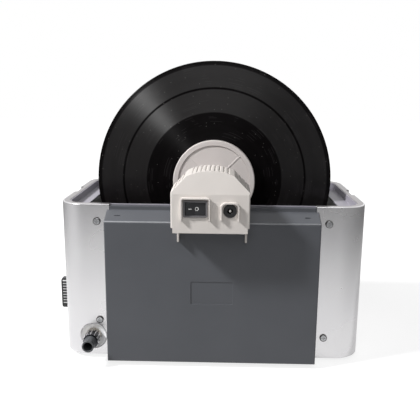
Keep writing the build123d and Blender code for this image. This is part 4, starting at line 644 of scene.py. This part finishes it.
# Drawn silicone: milky, with light going a little way in.
hose_silicone = surfaced(
    "translucent_silicone", "C9CBC8", "D2D4D1", 0.35, grain_mm=1.0, more={"Subsurface Weight": 0.2}
)
dress(plated_brass, "cock_body", "cock_plug")
dress(plated_steel, "packing_nut", "port_nut")
dress(hose_silicone, "drain_hose")
dress(zinc_plated_steel, "hose_clips")
dress(grip_nylon, "drain_knob")
groove_count = 9
groove_pitch = 3.7 * mm
groove_lift = 2.4 * mm
inlay_size = (8.8 * mm, 1.7 * mm, 1.3 * mm)
inlay_edge = 0.15 * mm
inlay_from_wall = 0.1 * mm
inlay_sunk = 0.15 * mm
grip_low, grip_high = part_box("drain_knob")
grip_middle = (grip_low.z + grip_high.z) / 2 + groove_lift
# Pale bars in the grooves: painted highlights standing for the glints on the grip's ribs.
glint_bars = []
for side, edge in ((1, grip_low.y), (-1, grip_high.y)):
    for place in range(groove_count):
        middle = (
            grip_high.x - inlay_from_wall - inlay_size[0] / 2,
            edge + side * (inlay_sunk + inlay_size[1] / 2),
            grip_middle + (place - (groove_count - 1) / 2) * groove_pitch,
        )
        glint_bars.append(block("inlay", middle, inlay_size, inlay_edge))
grip_glint_bars = joined("grip_glint_bars", glint_bars)
finish(grip_glint_bars, "drain_valve", rib_glint_paint)

# ---------------------------------------------------------------- drain outlet
# A grey nylon nozzle stands in a dished aluminium washer. A plated collar and a dark nut with
# twelve ribs clamp it to the shell; the ribs are painted bright as glints.

# Moulded nylon: dark grey with a soft shine.
nozzle_nylon = surfaced("dark_grey_nylon", "45474A", "4D4F52", 0.34, edge_mm=0.5)
# Frosted aluminium scatters light almost evenly, so it is drawn as a matt white surface and not
# as a metal that mirrors.
frosted_aluminium = surfaced("frosted_aluminium", "F6F6F8", "FAFAFC", 0.50, grain_mm=0.9, edge_mm=0.5)
# Gunmetal plating: a dark, clearly shining metal.
gunmetal = surfaced(
    "gunmetal_plating", "3A3B3F", "434448", 0.26, relief_mm=0.006, mottle_mm=5.0, metallic=1.0
)
# The ribs are painted bright nickel as the glints that they catch.
rib_glint_nickel = surfaced(
    "nickel_painted_glints", "C9C9CB", "D2D2D4", 0.24, relief_mm=0.006, mottle_mm=5.0, metallic=1.0
)
dress(nozzle_nylon, "drain_nozzle")
dress(frosted_aluminium, "drain_dish")
dress(plated_brass, "nozzle_collar")
nut_front = -93.0 * mm
nut_back = -77.0 * mm
nut_radius = 9.0 * mm
nut_wall = 1.6 * mm
rib_total = 12
rib_wide = 1.3 * mm
rib_short = 1.0 * mm
rib_tall = 1.8 * mm
rib_edge = 0.4 * mm
outlet_low, outlet_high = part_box("drain_nozzle")
nut_long = nut_back - nut_front
outlet_x = (outlet_low.x + outlet_high.x) / 2
outlet_z = (outlet_low.z + outlet_high.z) / 2
nut_middle = (outlet_x, (nut_front + nut_back) / 2, outlet_z)
nut_ribs = []
for place in range(rib_total):
    rib = block("rib", (0, 0, 0), (rib_wide, nut_long - rib_short, rib_tall), rib_edge)
    rib.matrix_world = (
        Matrix.Translation(nut_middle)
        @ Matrix.Rotation(2 * math.pi * place / rib_total, 4, "Y")
        @ Matrix.Translation((0, 0, nut_radius))
    )
    bpy.ops.object.transform_apply(location=True, rotation=True, scale=True)
    nut_ribs.append(rib)
# The ribs' bright nickel is a painted glint.
outlet_nut_ribs = joined("outlet_nut_ribs", nut_ribs)
finish(outlet_nut_ribs, "root", rib_glint_nickel)
outlet_nut = ring("outlet_nut", nut_middle, nut_radius, nut_wall, nut_long)
finish(outlet_nut, "root", gunmetal)

# ---------------------------------------------------------------- drive unit
# An off-white moulded housing with its base and back, screwed together, which clips over the
# cover's edge. Inside are a gearmotor and a bronze bush for the spindle.

# Moulded ABS: a warm white with an even, nearly matt skin.
drive_abs = surfaced("warm_white_abs", "DAD4CF", "DED8D3", 0.50, grain_mm=0.7, edge_mm=0.7)
# Sintered bronze: brownish yellow, dull and slightly porous.
bush_bronze = surfaced(
    "sintered_bronze", "8C6A3D", "967345", 0.45, grain_mm=0.6, relief_mm=0.020, metallic=1.0
)
# Zinc-plated motor can: a smooth mid grey metal.
motor_can = surfaced("zinc_plated_can", "9A9B9C", "A3A4A5", 0.30, grain_mm=1.0, metallic=1.0)
dress(drive_abs, "drive_housing", "drive_base", "drive_back")
dress(bush_bronze, "spindle_bush")
dress(motor_can, "gearmotor")
dress(plated_steel, "motor_screws", "drive_screws")

# ---------------------------------------------------------------- switch and rocker
# A snap-in rocker switch with a grey nylon frame and a black rocker. A white bar is printed on
# the rocker's left half, along its slope, and a white ring beside its ridge.

# Moulded nylon: mid grey, satin.
switch_nylon = surfaced("grey_switch_nylon", "6A686A", "706E70", 0.42, grain_mm=0.6, edge_mm=0.4)
# Moulded nylon: soft black with a fairly clear shine.
rocker_nylon = surfaced(
    "black_rocker_nylon", "262628", "2C2C2E", 0.33, grain_mm=0.7, relief_mm=0.008, edge_mm=0.5
)
# Pad-printed ink: opaque white, flat.
white_ink = surfaced("white_ink", "E9E8E6", "EFEEEC", 0.45, grain_mm=0.5, relief_mm=0.002, edge_mm=0.05)
dress(switch_nylon, "switch_body")
dress(rocker_nylon, "rocker")
rocker_tilt = math.radians(16.0)
rocker_joint = next(
    joint for joint in frame["record"]["behaviour"]["joints"] if joint["name"] == "power_rocker_tip"
)
pivot = Vector(rocker_joint["pos_m"])
ridge = 1.8 * mm
ink_deep = 0.12 * mm
ink_edge = 0.04 * mm
bar_size = (3.4 * mm, ink_deep, 0.9 * mm)
bar_from_pivot = 5.6 * mm
loop_radius = 2.0 * mm
loop_line = 0.55 * mm
loop_from_pivot = 1.6 * mm
bar_drop = ridge + bar_from_pivot * math.tan(rocker_tilt)
bar_place = (pivot.x - bar_from_pivot, pivot.y - bar_drop, pivot.z)
loop_place = (pivot.x + loop_from_pivot, pivot.y - ridge, pivot.z)
on_bar = block("on_bar", bar_place, bar_size, ink_edge, rocker_tilt)
off_ring = ring("off_ring", loop_place, loop_radius, loop_line, ink_deep)
rocker_marks = joined("rocker_marks", [on_bar, off_ring])
finish(rocker_marks, "power_rocker", white_ink)

# ---------------------------------------------------------------- power jack
# A round black jack held by a nut behind the housing's face. Its centre pin is a bright
# nickel-plated tube with an eased tip.


def turned(name, start, axis, profile, steps=48):
    """A turned piece: a profile of (along, radius) points in metres, drawn and spun about an axis."""
    axis = Vector(axis)
    across = Vector((1, 0, 0)) if abs(axis.x) < 0.5 else Vector((0, 1, 0))
    places = [Vector(start) + axis * along + across * radius for along, radius in profile]
    bpy.ops.object.select_all(action="DESELECT")
    bpy.ops.mesh.primitive_plane_add(size=mm, location=(0, 0, 0))
    piece = bpy.context.object
    piece.name = name
    bpy.ops.object.mode_set(mode="EDIT")
    bpy.ops.mesh.select_all(action="SELECT")
    bpy.ops.mesh.merge(type="CENTER")
    bpy.ops.transform.translate(value=places[0])
    for before, after in zip(places, places[1:]):
        bpy.ops.mesh.extrude_region_move(TRANSFORM_OT_translate={"value": after - before})
    bpy.ops.mesh.select_all(action="SELECT")
    bpy.ops.mesh.spin(steps=steps, angle=2 * math.pi, center=start, axis=axis)
    bpy.ops.mesh.select_all(action="SELECT")
    bpy.ops.mesh.remove_doubles(threshold=0.002 * mm)
    bpy.ops.mesh.normals_make_consistent(inside=False)
    bpy.ops.object.mode_set(mode="OBJECT")
    return piece


# Moulded PBT: black and satin.
socket_pbt = surfaced("black_socket_pbt", "1E1E1F", "242425", 0.36, grain_mm=0.6, edge_mm=0.4)
# Satin nickel: very pale and soft in its shine.
satin_nickel = surfaced(
    "satin_nickel", "F0EEE9", "F4F2EE", 0.45,
    grain_mm=0.6, relief_mm=0.004, edge_mm=0.2, mottle_mm=6.0, metallic=0.6,
)
dress(socket_pbt, "dc_jack")
dress(plated_steel, "jack_nut")
pin_radius = 1.25 * mm
pin_neck = 1.1 * mm
pin_tip = 0.7 * mm
pin_bore = 0.45 * mm
pin_long = 9.8 * mm
pin_root = 10.0 * mm
jack_low, jack_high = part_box("dc_jack")
jack_start = ((jack_low.x + jack_high.x) / 2, jack_low.y + pin_root, (jack_low.z + jack_high.z) / 2)
pin_profile = [
    (0, pin_bore),
    (0, pin_radius),
    (pin_long - 0.4 * mm, pin_radius),
    (pin_long - 0.1 * mm, pin_neck),
    (pin_long, pin_tip),
    (pin_long, pin_bore),
    (0, pin_bore),
]
jack_pin = turned("jack_pin", jack_start, (0, -1, 0), pin_profile, 24)
finish(jack_pin, "drive_unit", satin_nickel)

# ---------------------------------------------------------------- spindle, label covers, clamp nut
# Two pale moulded discs with rubber seals clamp the record by its label on the steel spindle. A
# fluted finger nut pushes them together. A flat ring fills the near disc's dish to its real depth.

# Moulded ABS: pale grey with a warm cast, nearly matt.
cover_abs = surfaced("pale_grey_abs", "D0C9C6", "D4CDCA", 0.46, grain_mm=0.7, edge_mm=0.8)
# Moulded nylon: black, satin.
nut_nylon = surfaced("black_nut_nylon", "1B1B1D", "212123", 0.36, grain_mm=0.7, edge_mm=0.6)
dress(turned_steel, "spindle_shaft")
dress(cover_abs, "inner_label_cover", "outer_label_cover", "spindle_hub")
dress(black_rubber, "label_seals")
dress(nut_nylon, "clamp_nut")
face_front = -4.0 * mm
face_back = -2.1 * mm
face_radius = 46.0 * mm
face_edge = 0.3 * mm
hub_radius = 16.95 * mm
label_low, label_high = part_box("inner_label_cover")
spindle_axis = ((label_low.x + label_high.x) / 2, 0, (label_low.z + label_high.z) / 2)
face_profile = [
    (face_back, hub_radius),
    (face_front, hub_radius),
    (face_front, face_radius - face_edge),
    (face_front + face_edge, face_radius),
    (face_back, face_radius),
    (face_back, hub_radius),
]
label_face = turned("label_face", spindle_axis, (0, 1, 0), face_profile, 96)
finish(label_face, "spindle", cover_abs)

# ---------------------------------------------------------------- record
# A 12-inch record pressed of black vinyl: a bead at the edge, the lead-in, the music with a gap
# between two tracks, a smoother run-out, and a raised label area with the spindle's hole.
record_low, record_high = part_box("record")
record_middle = (record_low + record_high) / 2
half_thick = (record_high.y - record_low.y) / 2
record_radius = (record_high.z - record_low.z) / 2
bead_wide = 2.2 * mm
bead_rise = 0.7 * mm
field_half_thick = 0.75 * mm
music_half_thick = 0.78 * mm
music_outer = record_radius - 4.5 * mm
music_inner = 60.4 * mm
music_fade = 0.6 * mm
label_radius = 50.0 * mm
label_step = 1.0 * mm
hole_radius = 3.64 * mm
record_profile = [
    (-half_thick, hole_radius),
    (-half_thick, label_radius),
    (-field_half_thick, label_radius + label_step),
    (-field_half_thick, music_inner - label_step),
    (-music_half_thick, music_inner),
    (-music_half_thick, music_outer),
    (-field_half_thick, music_outer + music_fade),
    (-field_half_thick, record_radius - bead_wide),
    (-half_thick, record_radius - bead_wide + bead_rise),
    (-half_thick * 0.95, record_radius - 0.7 * mm),
    (-half_thick * 0.6, record_radius - 0.15 * mm),
    (0, record_radius),
]
record_profile += [(-along, radius) for along, radius in reversed(record_profile[:-1])]
record_profile.append(record_profile[0])
record = turned("record_pressing", record_middle, (0, 1, 0), record_profile, 192)

# Pressed vinyl: black, and its grooves run round the record, so that a lamp's light is drawn out
# across them into a narrow fan. They are drawn wider than real, so that they show.
groove_mm = 1.1
groove_relief_mm = 0.03
vinyl, tree = new_material("pressed_black_vinyl")
where = add(tree, "TexCoord")
centred = add(tree, "VectorMath", {1: record_middle}, [(0, where, "Object")], operation="SUBTRACT")
flat = add(tree, "VectorMath", {1: (1, 0, 1)}, [(0, centred, 0)], operation="MULTIPLY")
radius = add(tree, "VectorMath", links=[(0, flat, 0)], operation="LENGTH")
across_grooves = add(
    tree,
    "VectorTransform",
    links=[("Vector", flat, 0)],
    vector_type="VECTOR",
    convert_from="OBJECT",
    convert_to="WORLD",
)
grooves = add(
    tree,
    "TexNoise",
    {"Scale": 1 / (groove_mm * mm), "Detail": 2.0, "Roughness": 0.7},
    [("W", radius, "Value")],
    noise_dimensions="1D",
)
relief = add(
    tree, "Bump", {"Strength": 1.0, "Distance": groove_relief_mm * mm}, [("Height", grooves, "Fac")]
)
gloss = add(tree, "MapRange", {"To Min": 0.42, "To Max": 0.54}, [("Value", grooves, "Fac")])

# Where the record shines, by share of its radius: little in the run-out, fully in the music,
# least in the gap between the two tracks, and less again in the lead-in.
run_out_shine = 0.6
lead_in_shine = 0.7
share = add(tree, "Math", {1: record_radius}, [(0, radius, "Value")], operation="DIVIDE")
zones = add(tree, "ValToRGB", links=[("Fac", share, 0)])
zones.color_ramp.elements[0].color = (run_out_shine, run_out_shine, run_out_shine, 1)
zones.color_ramp.elements[1].color = (lead_in_shine, lead_in_shine, lead_in_shine, 1)
for at, shine in (
    (0.575, run_out_shine),
    (0.583, 1.0),
    (0.768, 1.0),
    (0.774, 0.5),
    (0.782, 0.5),
    (0.788, 1.0),
    (0.962, 1.0),
    (0.970, lead_in_shine),
):
    zones.color_ramp.elements.new(at).color = (shine, shine, shine, 1)
sharpened = add(tree, "Math", {1: 4.0}, [(0, zones, "Color")], operation="POWER")
level = add(tree, "Math", {1: 0.5}, [(0, sharpened, 0)], operation="MULTIPLY")

# The vinyl's own black, in broad bands that differ a little from turn to turn.
band_mm = 9.0
bands = add(
    tree,
    "TexNoise",
    {"Scale": 1 / (band_mm * mm), "Detail": 1.0},
    [("W", radius, "Value")],
    noise_dimensions="1D",
)
tone = add(tree, "ValToRGB", links=[("Fac", bands, "Fac")])
tone.color_ramp.elements[0].position = 0.35
tone.color_ramp.elements[0].color = linear("0C0A0B")
tone.color_ramp.elements[1].position = 0.65
tone.color_ramp.elements[1].color = linear("100E0F")
# The zones darken the black too: painted shade for the duller run-out, track gap and lead-in.
zone_shaded_black = add(tree, "VectorMath", links=[(0, tone, "Color"), (1, zones, "Color")], operation="MULTIPLY")

# Light scuffs: thin lines along the grooves, each for a short stretch of a turn.
scuff_line_mm = 0.9
scuff_stretch_mm = 22.0
fine_rings = add(
    tree,
    "TexNoise",
    {"Scale": 1 / (scuff_line_mm * mm), "Detail": 0.0},
    [("W", radius, "Value")],
    noise_dimensions="1D",
)
ring_lines = add(tree, "Math", {1: 0.66}, [(0, fine_rings, "Fac")], operation="GREATER_THAN")
stretches = add(
    tree, "TexNoise", {"Scale": 1 / (scuff_stretch_mm * mm), "Detail": 1.0}, [("Vector", centred, 0)]
)
scuffed_parts = add(tree, "Math", {1: 0.58}, [(0, stretches, "Fac")], operation="GREATER_THAN")
scuffs = add(tree, "Math", links=[(0, ring_lines, 0), (1, scuffed_parts, 0)], operation="MULTIPLY")
scuffed = add(tree, "Mix", {7: linear("242223")}, [(0, scuffs, 0), (6, zone_shaded_black, 0)], data_type="RGBA")

# Dust: a grey speck in about one in five cells of a 9 mm spread. The specks are about 0.8 mm
# wide, larger than real, so that they show.
dust_pitch_mm = 9.0
speck_reach = 0.045
dust_from = 0.80
apart = add(tree, "SeparateXYZ", links=[("Vector", centred, 0)])
upright_plane = add(tree, "CombineXYZ", links=[("X", apart, "X"), ("Y", apart, "Z")])
cells = add(
    tree,
    "TexVoronoi",
    {"Scale": 1 / (dust_pitch_mm * mm)},
    [("Vector", upright_plane, 0)],
    voronoi_dimensions="2D",
)
specks = add(tree, "Math", {1: speck_reach}, [(0, cells, "Distance")], operation="LESS_THAN")
draw = add(tree, "SeparateXYZ", links=[("Vector", cells, "Color")])
chosen = add(tree, "Math", {1: dust_from}, [(0, draw, "X")], operation="GREATER_THAN")
dust = add(tree, "Math", links=[(0, specks, 0), (1, chosen, 0)], operation="MULTIPLY")
dusted = add(tree, "Mix", {7: linear("5C5A58")}, [(0, dust, 0), (6, scuffed, 2)], data_type="RGBA")
skin = add(
    tree,
    "BsdfPrincipled",
    {"Anisotropic": 0.95, "IOR": 1.53},
    [
        ("Base Color", dusted, 2),
        ("Specular IOR Level", level, 0),
        ("Roughness", gloss, "Result"),
        ("Normal", relief, "Normal"),
        ("Tangent", across_grooves, "Vector"),
    ],
)
add(tree, "OutputMaterial", links=[("Surface", skin, "BSDF")])
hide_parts("record")
finish(record, "spindle", vinyl, 20.0)
